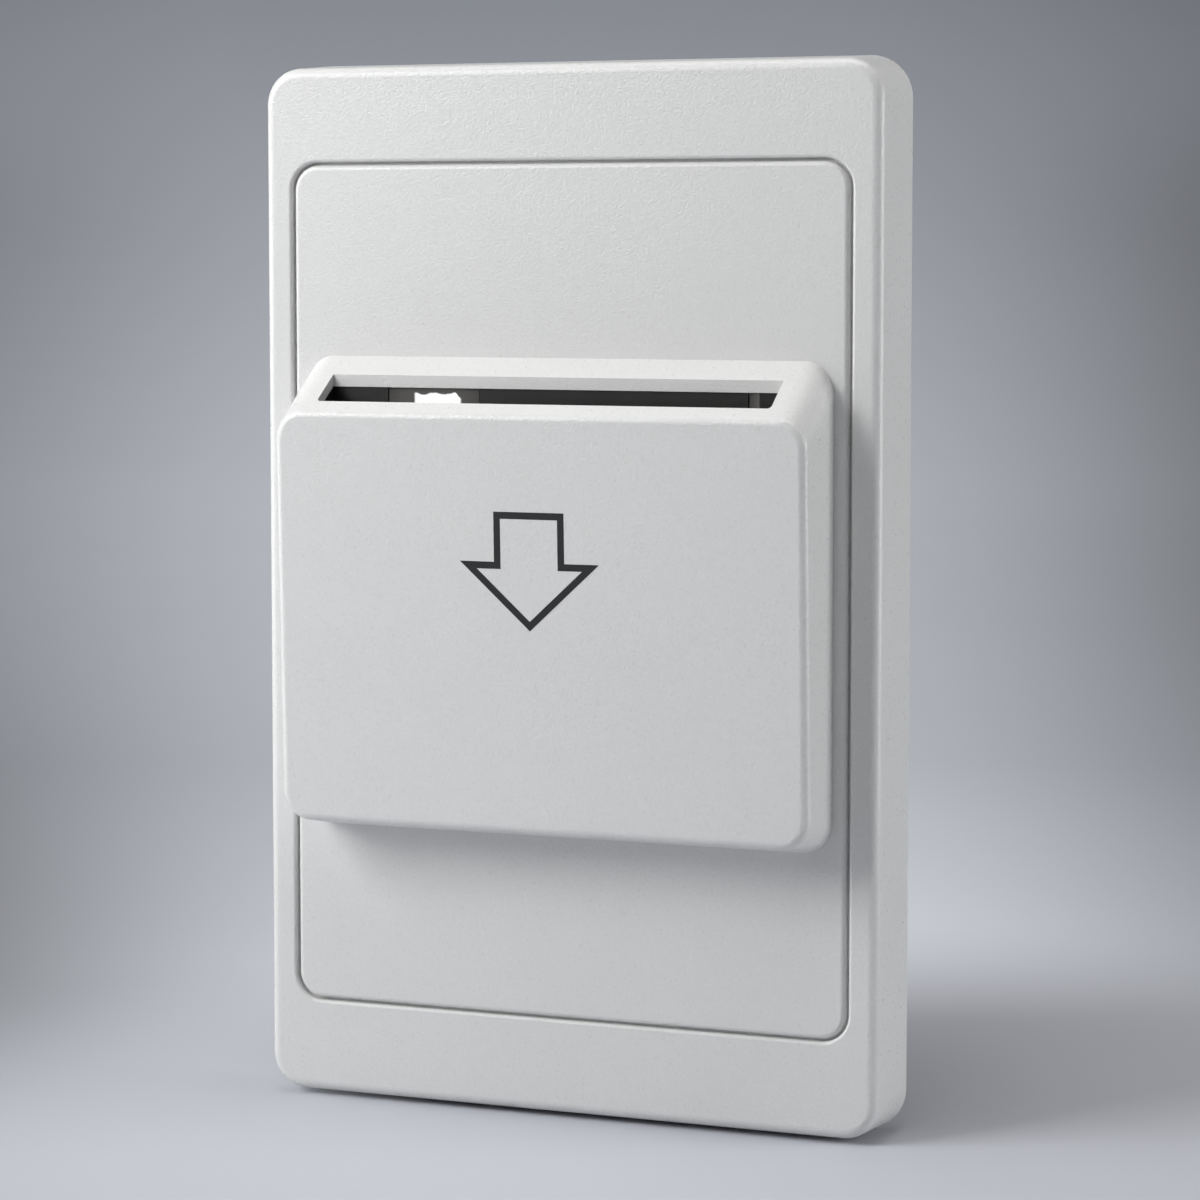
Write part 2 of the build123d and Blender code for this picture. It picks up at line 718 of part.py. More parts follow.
with BuildPart() as mounting_plate:
    with BuildSketch(Plane.XZ):
        RectangleRounded(mount_width, mount_height, mount_corner)
    extrude(amount=mount_thickness)
    with BuildSketch(wall_section(mount_thickness)):
        RectangleRounded(mount_width, mount_height, mount_corner)
        RectangleRounded(
            mount_width - 2 * mount_rim,
            mount_height - 2 * mount_rim,
            mount_corner - mount_rim,
            mode=Mode.SUBTRACT,
        )
        with Locations(*[(x, side * mount_height / 2) for x, side in clip_places]):
            Rectangle(clip_notch_width, 3 * mount_rim, mode=Mode.SUBTRACT)
    extrude(amount=mount_rim_height)
    # raised pads and slots for the two wall screws
    with BuildSketch(wall_section(mount_thickness)):
        with Locations((0, -screw_spacing / 2), (0, screw_spacing / 2)):
            SlotOverall(
                screw_slot_length + 2 * slot_pad_margin,
                2 * (screw_slot_radius + slot_pad_margin),
                rotation=90,
            )
    extrude(amount=slot_pad_height)
    with BuildSketch(Plane.XZ):
        with Locations((0, -screw_spacing / 2), (0, screw_spacing / 2)):
            SlotOverall(screw_slot_length, 2 * screw_slot_radius, rotation=90)
    extrude(amount=mount_thickness + slot_pad_height + overrun, mode=Mode.SUBTRACT)
    # recess that the housing's rim sits in
    with BuildSketch(Plane.XZ):
        RectangleRounded(
            housing_width + 2 * recess_margin,
            housing_height + 2 * recess_margin,
            housing_corner + recess_margin,
        )
    extrude(amount=housing_recess, mode=Mode.SUBTRACT)
    # windows for the microswitch and the lamp, holes for screws and rivets
    with BuildSketch(Plane.XZ):
        with Locations((0, switch_z)):
            Rectangle(switch_window_width, switch_window_height)
        with Locations((lit_middle, lamp_z)):
            Rectangle(lit_width + 2 * stem_room, light_stem_height + 2 * stem_room)
        with Locations(*housing_screw_places):
            Circle(housing_screw_radius + fit_gap)
        with Locations(*[(x, side * rivet_z) for x, side in clip_places]):
            Circle(rivet_radius + pin_gap)
    extrude(amount=mount_thickness + overrun, mode=Mode.SUBTRACT)
    # ears for the lever's pin
    for side in (-1, 1):
        with BuildSketch(Plane.YZ.offset(side * (ear_inner + ear_outer) / 2)):
            with Locations((-pivot_depth, pivot_z)):
                Circle(ear_radius)
            Polygon(
                (-mount_thickness + housing_recess, pivot_z - ear_radius / 4),
                (-pivot_depth, pivot_z - ear_radius / 4),
                (-pivot_depth - ear_radius, pivot_z),
                (-pivot_depth, pivot_z + ear_radius),
                (-mount_thickness, pivot_z + ear_rise),
                (-mount_thickness + housing_recess, pivot_z + ear_rise),
            )
            with Locations((-pivot_depth, pivot_z)):
                Circle(pin_radius + pin_gap, mode=Mode.SUBTRACT)
        extrude(amount=ear_thickness / 2, both=True)
save(mounting_plate, "mounting_plate")

# Spring strips that hold the cover, riveted to the plate
strip_middle = mount_thickness + clip_strip / 2
strip_foot_z = mount_height / 2 - clip_foot
strip_bend_z = mount_height / 2 - clip_bend
strip_crown_z = mount_height / 2 + clip_reach
with BuildPart() as cover_clips:
    for x, side in clip_places:
        with BuildSketch(Plane.YZ.offset(x)):
            with BuildLine():
                FilletPolyline(
                    (-strip_middle, side * strip_foot_z),
                    (-strip_middle, side * strip_bend_z),
                    (-strip_middle - clip_crown_share * lever_space, side * strip_crown_z),
                    (-strip_middle - clip_tip_share * lever_space, side * (strip_crown_z - clip_tip_drop)),
                    radius=clip_strip,
                )
            trace(line_width=clip_strip)
        extrude(amount=clip_width / 2, both=True)
    with BuildSketch(wall_section(mount_thickness)):
        with Locations(*[(x, side * rivet_z) for x, side in clip_places]):
            Circle(rivet_radius + pin_gap)
    extrude(amount=clip_strip + overrun, mode=Mode.SUBTRACT)
save(cover_clips, "cover_clips")

with BuildPart() as clip_rivets:
    with BuildSketch(Plane.XZ):
        with Locations(*[(x, side * rivet_z) for x, side in clip_places]):
            Circle(rivet_radius)
    extrude(amount=mount_thickness + clip_strip + rivet_head_height / 2)
    with BuildSketch(wall_section(mount_thickness + clip_strip)):
        with Locations(*[(x, side * rivet_z) for x, side in clip_places]):
            Circle(rivet_head_radius)
    extrude(amount=rivet_head_height)
save(clip_rivets, "clip_rivets")

# Rear housing: a drafted tub in the wall box, open to the mounting plate
tub_plane = Plane(origin=(0, -housing_recess, 0), x_dir=(-1, 0, 0), z_dir=(0, 1, 0))
tub_length = housing_depth + housing_recess
pole_x = [(index - (pole_count - 1) / 2) * pole_spacing for index in range(pole_count)]
terminal_z = (chamber_bottom + clamp_height / 2) + fit_gap
board_posts = [(x, z) for x in (-board_post_x, board_post_x) for z in (board_post_top, board_post_bottom)]
fill_x = housing_width / 2 - 3 * housing_wall / 4
fill_z = housing_height / 2 - 3 * housing_wall / 4

with BuildPart() as rear_housing:
    with BuildSketch(tub_plane):
        RectangleRounded(housing_width, housing_height, housing_corner)
    extrude(amount=tub_length, taper=housing_draft)
    chamfer(rear_housing.faces().sort_by(Axis.Y)[-1].outer_wire().edges(), housing_wall / 2)
    with BuildSketch(tub_plane):
        RectangleRounded(
            housing_width - 2 * housing_wall,
            housing_height - 2 * housing_wall,
            housing_corner - housing_wall,
        )
    extrude(amount=tub_length - housing_wall, taper=housing_draft, mode=Mode.SUBTRACT)
    # corner bosses for the housing screws, filled out to the walls, and posts for the board
    with BuildSketch(Plane.XZ.offset(housing_recess)):
        with Locations(*housing_screw_places):
            Circle(housing_boss_radius)
        with Locations(
            *[
                ((x + fill_x * (1 if x > 0 else -1)) / 2, (z + fill_z * (1 if z > 0 else -1)) / 2)
                for x, z in housing_screw_places
            ]
        ):
            Rectangle(fill_x - housing_boss_x, fill_z - housing_boss_z)
    extrude(amount=-housing_boss_length)
    with BuildSketch(Plane.XZ.offset(-board_back)):
        with Locations(*board_posts):
            Circle(board_post_radius)
    extrude(amount=board_back - tub_floor_y - housing_wall / 2)
    with BuildSketch(Plane.XZ.offset(housing_recess)):
        with Locations(*housing_screw_places):
            Circle(housing_screw_radius)
    extrude(amount=-housing_screw_bite - running_gap, mode=Mode.SUBTRACT)
    with BuildSketch(Plane.XZ.offset(-board_back)):
        with Locations(*board_posts):
            Circle(board_screw_radius)
    extrude(amount=-board_screw_bite - running_gap, mode=Mode.SUBTRACT)
    # driver holes over the terminal screws, window for the wires
    with BuildSketch(Plane.XZ.offset(-tub_floor_y + overrun)):
        with Locations(*[(x, terminal_z) for x in pole_x]):
            Circle(driver_hole_radius)
    extrude(amount=-housing_wall - 2 * overrun, mode=Mode.SUBTRACT)
    with BuildSketch(Plane.XY.offset(-housing_height / 2 - overrun)):
        with Locations((0, wire_depth)):
            Rectangle(pole_count * pole_spacing, wire_window_height)
    extrude(amount=housing_wall + 2 * overrun, mode=Mode.SUBTRACT)
    # vents through both side walls
    with BuildSketch(Plane.YZ):
        with Locations((vent_depth, vent_middle)):
            with GridLocations(vent_spacing, vent_spacing, 1, vent_count):
                Rectangle(vent_length, vent_width)
    extrude(amount=housing_width, both=True, mode=Mode.SUBTRACT)
save(rear_housing, "rear_housing")

with BuildPart() as housing_screws:
    with BuildSketch(wall_section(mount_thickness)):
        with Locations(*housing_screw_places):
            Circle(housing_head_radius)
    extrude(amount=housing_head_height)
    with BuildSketch(wall_section(mount_thickness)):
        with Locations(*housing_screw_places):
            Circle(housing_screw_radius)
    extrude(amount=-(mount_thickness - housing_recess + housing_screw_bite))
save(housing_screws, "housing_screws")

# Circuit board, notched round the housing's bosses
tongue_leg_z = chamber_top - fit_gap - tongue_thickness / 2
with BuildPart() as control_board:
    with BuildSketch(Plane.XZ.offset(-board_front)):
        RectangleRounded(board_width, board_height, board_corner)
        with GridLocations(board_width, board_height, 2, 2):
            Rectangle(2 * board_notch, 2 * board_notch, mode=Mode.SUBTRACT)
        with Locations(*board_posts):
            Circle(board_screw_radius + fit_gap, mode=Mode.SUBTRACT)
        with Locations(*[(x, tongue_leg_z) for x in pole_x]):
            Rectangle(tongue_width + fit_gap, tongue_thickness + fit_gap, mode=Mode.SUBTRACT)
        with Locations((0, switch_z)):
            with GridLocations(pin_spacing, pin_spacing, 3, 1):
                Rectangle(pin_width + fit_gap, pin_thickness + fit_gap, mode=Mode.SUBTRACT)
    extrude(amount=-board_thickness)
save(control_board, "control_board")

with BuildPart() as board_screws:
    with BuildSketch(Plane.XZ.offset(-board_front)):
        with Locations(*board_posts):
            Circle(board_head_radius)
    extrude(amount=board_head_height)
    with BuildSketch(Plane.XZ.offset(-board_front)):
        with Locations(*board_posts):
            Circle(board_screw_radius)
    extrude(amount=-board_thickness - board_screw_bite)
save(board_screws, "board_screws")

# Parts on the back of the board
def on_board(shares):
    """Place on the board as shares of its width and height, from its middle."""
    return (shares[0] * board_width, shares[1] * board_height)


with BuildPart() as relay:
    with BuildSketch(Plane.XZ.offset(-board_back)):
        with Locations(on_board(relay_place_shares)):
            Rectangle(relay_width_share * board_width, relay_height_share * board_height)
    extrude(amount=-relay_depth_share * board_room)
    chamfer(relay.edges().filter_by(Axis.Y), relay_edge)
    chamfer(relay.faces().sort_by(Axis.Y)[-1].edges(), relay_edge / 2)
save(relay, "relay")

with BuildPart() as film_capacitor:
    with BuildSketch(Plane.XZ.offset(-board_back)):
        with Locations(on_board(film_place_shares)):
            Rectangle(film_width_share * board_width, film_height_share * board_height)
    extrude(amount=-film_depth_share * board_room)
    chamfer(film_capacitor.faces().sort_by(Axis.Y)[-1].edges(), film_edge)
save(film_capacitor, "film_capacitor")

can_x, can_z = on_board(can_place_shares)
can_radius = can_radius_share * board_width
can_depth = can_depth_share * board_room
with BuildPart() as electrolytic_capacitor:
    with BuildSketch(Plane(origin=(can_x, 0, can_z), x_dir=(1, 0, 0), z_dir=(0, 0, 1))):
        groove_y = board_back + can_groove_height
        with BuildLine():
            Polyline(
                (0, board_back),
                (can_radius, board_back),
                (can_radius, groove_y),
                (can_radius - can_groove, groove_y + can_groove),
                (can_radius, groove_y + 2 * can_groove),
                (can_radius, board_back + can_depth - can_groove),
                (can_radius - can_groove, board_back + can_depth),
                (0, board_back + can_depth),
                close=True,
            )
        make_face()
    revolve(axis=Axis((can_x, 0, can_z), (0, 1, 0)))
save(electrolytic_capacitor, "electrolytic_capacitor")

disc_x, disc_z = on_board(disc_place_shares)
disc_radius = disc_radius_share * board_width
disc_thickness = disc_thickness_share * board_width
with BuildPart() as varistor:
    with BuildSketch(Plane.YZ.offset(disc_x)):
        with Locations((board_back + disc_stand + disc_radius, disc_z)):
            Circle(disc_radius)
    extrude(amount=disc_thickness / 2, both=True)
    chamfer(varistor.edges(), disc_thickness / 4)
save(varistor, "varistor")

with BuildPart() as fuse:
    with BuildSketch(Plane.XZ.offset(-board_back)):
        with Locations(on_board(fuse_place_shares)):
            Circle(fuse_radius_share * board_width)
    extrude(amount=-fuse_depth_share * board_room)
    chamfer(fuse.faces().sort_by(Axis.Y)[-1].edges(), film_edge)
save(fuse, "fuse")

with BuildPart() as bridge_rectifier:
    with BuildSketch(Plane.XZ.offset(-board_back)):
        with Locations(on_board(bridge_place_shares)):
            Rectangle(bridge_width_share * board_width, bridge_height_share * board_height)
    extrude(amount=-bridge_depth)
    chamfer(bridge_rectifier.faces().sort_by(Axis.Y)[-1].edges(), film_edge)
save(bridge_rectifier, "bridge_rectifier")

dropper_x, dropper_z = on_board(dropper_place_shares)
dropper_radius = dropper_radius_share * board_width
dropper_length = dropper_length_share * board_height
with BuildPart() as power_resistor:
    with BuildSketch(Plane.XY.offset(dropper_z)):
        with Locations((dropper_x, board_back + dropper_radius + dropper_cap)):
            Circle(dropper_radius)
    extrude(amount=dropper_length / 2, both=True)
    for side in (-1, 1):
        with BuildSketch(Plane.XY.offset(dropper_z + side * (dropper_length - dropper_cap_length) / 2)):
            with Locations((dropper_x, board_back + dropper_radius + dropper_cap)):
                Circle(dropper_radius + dropper_cap)
        extrude(amount=dropper_cap_length / 2, both=True)
save(power_resistor, "power_resistor")

# Small parts on the front of the board
with BuildPart() as timer_chip:
    with BuildSketch(Plane.XZ.offset(-board_front)):
        with Locations(on_board(chip_place_shares)):
            Rectangle(chip_width, chip_height)
    extrude(amount=chip_depth)
    with BuildSketch(Plane.XZ.offset(-board_front)):
        with Locations(on_board(chip_place_shares)):
            with GridLocations(chip_leg_spacing, chip_height + chip_leg_length, chip_legs_per_side, 2):
                Rectangle(chip_leg_width, chip_leg_length + chip_leg_width)
    extrude(amount=chip_leg_depth)
save(timer_chip, "timer_chip")

with BuildPart() as surface_resistors:
    with BuildSketch(Plane.XZ.offset(-board_front)):
        with Locations(on_board(chip_resistor_place_shares)):
            with GridLocations(chip_resistor_spacing, chip_resistor_row_spacing, chip_resistor_count, 2):
                Rectangle(chip_resistor_width, chip_resistor_height)
    extrude(amount=chip_resistor_depth)
save(surface_resistors, "surface_resistors")

with BuildPart() as led_lamp:
    with BuildSketch(Plane.XZ.offset(-board_front)):
        with Locations((lit_middle, lamp_z)):
            Circle(lamp_flange_radius)
    extrude(amount=lamp_flange_height)
    with BuildSketch(Plane.XZ.offset(-board_front)):
        with Locations((lit_middle, lamp_z)):
            Circle(lamp_radius)
    extrude(amount=lamp_reach)
    chamfer(led_lamp.faces().sort_by(Axis.Y)[0].edges(), lamp_radius / 3, lamp_radius / 2)
save(led_lamp, "led_lamp")

# Card lever: bell crank with a long arm in the card channel and a short foot on the plunger
with BuildPart() as card_lever:
    arm_tip = (-pivot_depth - arm_length * cos(rest_angle), pivot_z + arm_length * sin(rest_angle))
    across_arm = (sin(rest_angle) * arm_thickness / 2, cos(rest_angle) * arm_thickness / 2)
    with BuildSketch(Plane.YZ.offset((hub_right - hub_left) / 2)):
        with Locations((-pivot_depth, pivot_z)):
            Circle(hub_radius)
    extrude(amount=(hub_right + hub_left) / 2, both=True)
    with BuildSketch(Plane.YZ):
        Polygon(
            (-pivot_depth + across_arm[0], pivot_z + across_arm[1]),
            (-pivot_depth - across_arm[0], pivot_z - across_arm[1]),
            (arm_tip[0] - across_arm[0], arm_tip[1] - across_arm[1]),
            (arm_tip[0] + across_arm[0], arm_tip[1] + across_arm[1]),
        )
        with Locations(arm_tip):
            Circle(arm_nose_radius)
        with Locations((-pivot_depth, pivot_z)):
            Circle(hub_radius, mode=Mode.SUBTRACT)
    extrude(amount=arm_width / 2, both=True)
    with BuildSketch(Plane.YZ):
        Polygon(
            (-pivot_depth - foot_thickness / 2, pivot_z),
            (foot_nose_y - foot_thickness / 2, foot_nose_z),
            (foot_nose_y + foot_thickness / 2, foot_nose_z),
            (-pivot_depth + foot_thickness / 2, pivot_z),
        )
        with Locations((foot_nose_y, foot_nose_z)):
            Circle(foot_nose_radius)
    extrude(amount=foot_width / 2, both=True)
    with BuildSketch(Plane.YZ):
        with Locations((-pivot_depth, pivot_z)):
            Circle(pin_radius + running_gap)
    extrude(amount=arm_width, both=True, mode=Mode.SUBTRACT)
save(card_lever, "card_lever")

pin_half = ear_outer + pin_overhang
with BuildPart() as lever_pin:
    with BuildSketch(Plane.YZ):
        with Locations((-pivot_depth, pivot_z)):
            Circle(pin_radius)
    extrude(amount=pin_half, both=True)
    chamfer(lever_pin.edges(), pin_radius / 4)
save(lever_pin, "lever_pin")

# Return spring: turns round the pin, a straight leg under the arm, a hook under the right ear
arm_leg_tilt = rest_angle + asin(
    (spring_radius - (arm_thickness + spring_wire) / 2 - pin_gap) / spring_arm_leg
)
arm_leg_turn = -pi / 2 - arm_leg_tilt
hook_y = ear_web_back - spring_wire / 2 - pin_gap
hook_reach = ear_radius + spring_wire / 2 + pin_gap
hook_z = -((hook_reach**2 - hook_y**2) ** 0.5)
hook_turn = atan2(hook_z, hook_y) - acos(spring_radius / hook_reach)
hook_leg = (hook_reach**2 - spring_radius**2) ** 0.5
coil_angle = 2 * pi * spring_turns + hook_turn - arm_leg_turn
coil_length = spring_lead * coil_angle / (2 * pi)


def round_the_pin(x, angle, radius=spring_radius):
    """Point at an angle round the lever's pin, turning from +Y towards +Z."""
    return (x, -pivot_depth + radius * cos(angle), pivot_z + radius * sin(angle))


with BuildPart() as lever_spring:
    with BuildLine():
        coil = Spline(
            *[
                round_the_pin(spring_start + coil_length * step, arm_leg_turn + coil_angle * step)
                for step in [index / coil_steps for index in range(coil_steps + 1)]
            ]
        )
    with BuildSketch(Plane(coil @ 0, z_dir=coil % 0)):
        RegularPolygon(spring_wire / 2, wire_sides)
    sweep(path=coil, is_frenet=True)
    with BuildSketch(
        Plane(round_the_pin(spring_start, arm_leg_turn), z_dir=(0, -cos(arm_leg_tilt), sin(arm_leg_tilt)))
    ):
        RegularPolygon(spring_wire / 2, wire_sides)
    extrude(amount=spring_arm_leg)
    hook_start = spring_start + coil_length
    with BuildSketch(
        Plane(round_the_pin(hook_start, hook_turn), z_dir=(0, -sin(hook_turn), cos(hook_turn)))
    ):
        RegularPolygon(spring_wire / 2, wire_sides)
    extrude(amount=hook_leg)
    with Locations((hook_start, -pivot_depth + hook_y, pivot_z + hook_z)):
        Sphere(spring_wire / 2)
    with BuildSketch(Plane((hook_start, -pivot_depth + hook_y, pivot_z + hook_z), z_dir=(1, 0, 0))):
        RegularPolygon(spring_wire / 2, wire_sides)
    extrude(amount=spring_hook_length)
save(lever_spring, "lever_spring")

# Microswitch: body with two cross holes, moving plunger and three pins
body_depth = board_front - switch_front_y
with BuildPart() as switch_body:
    with BuildSketch(Plane.XZ.offset(-board_front)):
        with Locations((0, switch_z)):
            Rectangle(switch_width, switch_height)
    extrude(amount=body_depth)
    chamfer(switch_body.faces().sort_by(Axis.Y)[0].edges(), switch_edge)
    with BuildSketch(Plane.XY.offset(switch_z)):
        with Locations((0, board_front - switch_mount_back)):
            with GridLocations(switch_mount_spacing, switch_mount_spacing, 2, 1):
                Circle(switch_mount_radius)
    extrude(amount=switch_height, both=True, mode=Mode.SUBTRACT)
    with BuildSketch(Plane.XZ.offset(-switch_front_y)):
        with Locations((0, switch_z)):
            Rectangle(plunger_width + 2 * plunger_gap, plunger_height + 2 * plunger_gap)
    extrude(amount=-(plunger_length - plunger_spare + plunger_room), mode=Mode.SUBTRACT)
save(switch_body, "switch_body")

with BuildPart() as switch_plunger:
    with BuildSketch(Plane.XZ.offset(-plunger_tip_y)):
        with Locations((0, switch_z)):
            Rectangle(plunger_width, plunger_height)
    extrude(amount=-plunger_length)
    fillet(switch_plunger.faces().sort_by(Axis.Y)[0].edges().filter_by(Axis.X), plunger_edge)
save(switch_plunger, "switch_plunger")

with BuildPart() as switch_pins:
    with BuildSketch(Plane.XZ.offset(-board_front)):
        with Locations((0, switch_z)):
            with GridLocations(pin_spacing, pin_spacing, 3, 1):
                Rectangle(pin_width, pin_thickness)
    extrude(amount=-pin_length)
save(switch_pins, "switch_pins")

# Terminal block: one chamber, screw seat and wire hole for each pole
with BuildPart() as terminal_block:
    with BuildSketch(Plane.XZ.offset(-board_back)):
        with Locations((0, (block_bottom + block_top) / 2)):
            Rectangle(block_width, block_top - block_bottom)
    extrude(amount=-(block_back - board_back))
    chamfer(terminal_block.faces().sort_by(Axis.Y)[-1].edges(), block_edge)
    with BuildSketch(Plane.XZ.offset(-board_back)):
        with Locations(*[(x, (chamber_bottom + chamber_top) / 2) for x in pole_x]):
            Rectangle(chamber_width, chamber_top - chamber_bottom)
    extrude(amount=-(chamber_roof - board_back), mode=Mode.SUBTRACT)
    with BuildSketch(Plane.XZ.offset(-board_back)):
        with Locations(*[(x, terminal_z) for x in pole_x]):
            Circle(terminal_screw_radius + fit_gap)
    extrude(amount=-(block_back - board_back + overrun), mode=Mode.SUBTRACT)
    with BuildSketch(Plane.XZ.offset(-screw_seat)):
        with Locations(*[(x, terminal_z) for x in pole_x]):
            Circle(terminal_head_radius + head_gap)
    extrude(amount=-(block_back - screw_seat + overrun), mode=Mode.SUBTRACT)
    with BuildSketch(Plane.XY.offset(block_bottom - overrun)):
        with Locations(*[(x, wire_depth) for x in pole_x]):
            Circle(wire_radius)
    extrude(amount=chamber_bottom - block_bottom + 2 * overrun, mode=Mode.SUBTRACT)
    # relief over the microswitch's solder pins
    with BuildSketch(Plane.XZ.offset(-board_back)):
        with Locations((0, switch_z)):
            Rectangle(3 * pin_spacing, 3 * pin_width)
    extrude(amount=-(pin_length - board_thickness + fit_gap), mode=Mode.SUBTRACT)
save(terminal_block, "terminal_block")

# Tongues: a fixed bar in each clamp, bent down to a leg through the board
tongue_back = tongue_front + tongue_thickness
with BuildPart() as terminal_tongues:
    for x in pole_x:
        with BuildSketch(Plane.YZ.offset(x)):
            Polygon(
                (tongue_front, chamber_bottom + tongue_tip),
                (tongue_back, chamber_bottom + tongue_tip),
                (tongue_back, chamber_top - fit_gap),
                (tongue_tail, chamber_top - fit_gap),
                (tongue_tail, chamber_top - fit_gap - tongue_thickness),
                (tongue_front, chamber_top - fit_gap - tongue_thickness),
            )
        extrude(amount=tongue_width / 2, both=True)
save(terminal_tongues, "terminal_tongues")

# Terminal screws and the clamps that they draw up
for pole, x in enumerate(pole_x, start=1):
    with BuildPart() as terminal_screw:
        with BuildSketch(Plane.XZ.offset(-tongue_back - running_gap)):
            with Locations((x, terminal_z)):
                Circle(terminal_screw_radius)
        extrude(amount=-(screw_seat - tongue_back - running_gap))
        with BuildSketch(Plane.XZ.offset(-screw_seat)):
            with Locations((x, terminal_z)):
                Circle(terminal_head_radius)
        extrude(amount=-terminal_head_height)
        with BuildSketch(Plane.XZ.offset(-(screw_seat + terminal_head_height - driver_slot_depth))):
            with Locations((x, terminal_z)):
                Rectangle(3 * terminal_head_radius, driver_slot_width)
        extrude(amount=-driver_slot_depth - overrun, mode=Mode.SUBTRACT)
    save(terminal_screw, f"terminal_screw_{pole}")

    clamp_end = clamp_nut_front + clamp_nut
    with BuildPart() as terminal_clamp:
        with BuildSketch(Plane.XY.offset(terminal_z)):
            with Locations((x, (clamp_front + clamp_end) / 2)):
                Rectangle(clamp_width, clamp_end - clamp_front)
            with Locations((x, (clamp_bar_back + clamp_nut_front) / 2)):
                Rectangle(
                    clamp_width - 2 * clamp_wall, clamp_nut_front - clamp_bar_back, mode=Mode.SUBTRACT
                )
        extrude(amount=clamp_height / 2, both=True)
        with BuildSketch(Plane.XZ.offset(-clamp_nut_front + clamp_wall)):
            with Locations((x, terminal_z)):
                Circle(terminal_screw_radius + running_gap)
        extrude(amount=-(clamp_nut + 2 * clamp_wall), mode=Mode.SUBTRACT)
    save(terminal_clamp, f"terminal_clamp_{pole}")
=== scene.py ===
"""Looks of the hotel key card switch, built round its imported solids. All lengths are in metres."""

import json
import math

import bpy
import numpy as np
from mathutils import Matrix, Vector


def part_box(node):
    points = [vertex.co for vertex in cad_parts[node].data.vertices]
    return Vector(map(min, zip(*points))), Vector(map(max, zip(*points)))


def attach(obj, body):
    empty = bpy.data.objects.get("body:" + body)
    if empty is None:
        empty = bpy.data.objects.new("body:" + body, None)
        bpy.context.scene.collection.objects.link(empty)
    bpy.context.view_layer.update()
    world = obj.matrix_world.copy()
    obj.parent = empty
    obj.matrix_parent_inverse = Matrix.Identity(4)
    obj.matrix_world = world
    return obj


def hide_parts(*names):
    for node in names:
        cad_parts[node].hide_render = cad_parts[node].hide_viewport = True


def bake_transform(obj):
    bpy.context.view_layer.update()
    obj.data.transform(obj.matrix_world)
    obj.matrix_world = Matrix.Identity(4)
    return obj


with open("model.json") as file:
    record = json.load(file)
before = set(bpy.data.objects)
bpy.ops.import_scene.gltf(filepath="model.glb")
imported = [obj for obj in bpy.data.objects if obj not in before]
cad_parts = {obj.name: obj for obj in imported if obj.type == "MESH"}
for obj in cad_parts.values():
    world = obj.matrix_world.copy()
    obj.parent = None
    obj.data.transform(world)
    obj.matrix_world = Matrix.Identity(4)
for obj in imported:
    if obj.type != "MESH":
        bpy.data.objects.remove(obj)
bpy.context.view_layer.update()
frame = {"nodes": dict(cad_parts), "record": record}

bl_info = {
    "name": "Hotel key card switch",
    "version": (1, 0, 0),
    "blender": (4, 5, 0),
    "location": "3D View > Sidebar > Card switch",
    "description": "Finishes the key card switch and sets it on a plain pale floor",
    "category": "Object",
}

MM = 0.001


# Sizes and colours


def tone(red, green, blue):
    """A linear colour from the 0 to 255 values of a screen."""
    parts = []
    for value in (red, green, blue):
        share = value / 255
        parts.append(share / 12.92 if share <= 0.04045 else ((share + 0.055) / 1.055) ** 2.4)
    return tuple(parts)


def colour_of(name, value, words):
    return bpy.props.FloatVectorProperty(
        name=name, description=words, default=value, size=3, min=0, max=1, subtype="COLOR"
    )


def number_of(name, value, words, **kind):
    return bpy.props.FloatProperty(name=name, description=words, default=value, **kind)


def length_of(name, value, words, least=0.0):
    """A length that is given in millimetres and kept in metres."""
    return number_of(name, value * MM, words, min=least * MM, unit="LENGTH", precision=5)


def power_of(name, value, words):
    return number_of(name, value, words, min=0, unit="POWER")


class CardSwitchMouldings(bpy.types.PropertyGroup):
    """Colours and grain of the plastic that the room sees."""

    plate: colour_of(
        "Plate", tone(219, 219, 217.5), "Off-white plastic of the plate, panel and pocket"
    )
    # the liner's colour is its own dark plastic, darkened further with painted shade that falls
    # inside the card slot
    liner: colour_of("Liner", tone(26, 24, 21), "Dark plastic inside the card slot")
    frosted: colour_of("Frosted window", tone(62, 60, 56), "Unlit plastic of the light guide")
    glow: colour_of("Glow", (1.0, 1.0, 1.0), "Light that comes through the window")
    ink: colour_of("Print", tone(20, 20, 21), "Printed arrow on the pocket")
    grain: length_of("Grain", 0.36, "Size of the moulded grain's bumps")
    grain_depth: length_of("Grain depth", 0.07, "How deep the moulded grain is")


class CardSwitchArrow(bpy.types.PropertyGroup):
    """Printed outline arrow on the pocket's front, measured to the outside of its line."""

    middle: length_of("Middle", -0.56, "Place across the pocket", -30)
    top: length_of("Top", 10.05, "Height of the shaft's top")
    shoulder: length_of("Shoulder", 4.35, "Height where the head starts")
    tip: length_of("Tip", -3.42, "Height of the tip", -30)
    shaft_width: length_of("Shaft width", 8.54, "Width of the shaft")
    head_width: length_of("Head width", 16.9, "Width of the head")
    line: length_of("Line", 0.8, "Width of the printed line")
    thickness: length_of("Thickness", 0.02, "How far the ink stands proud")


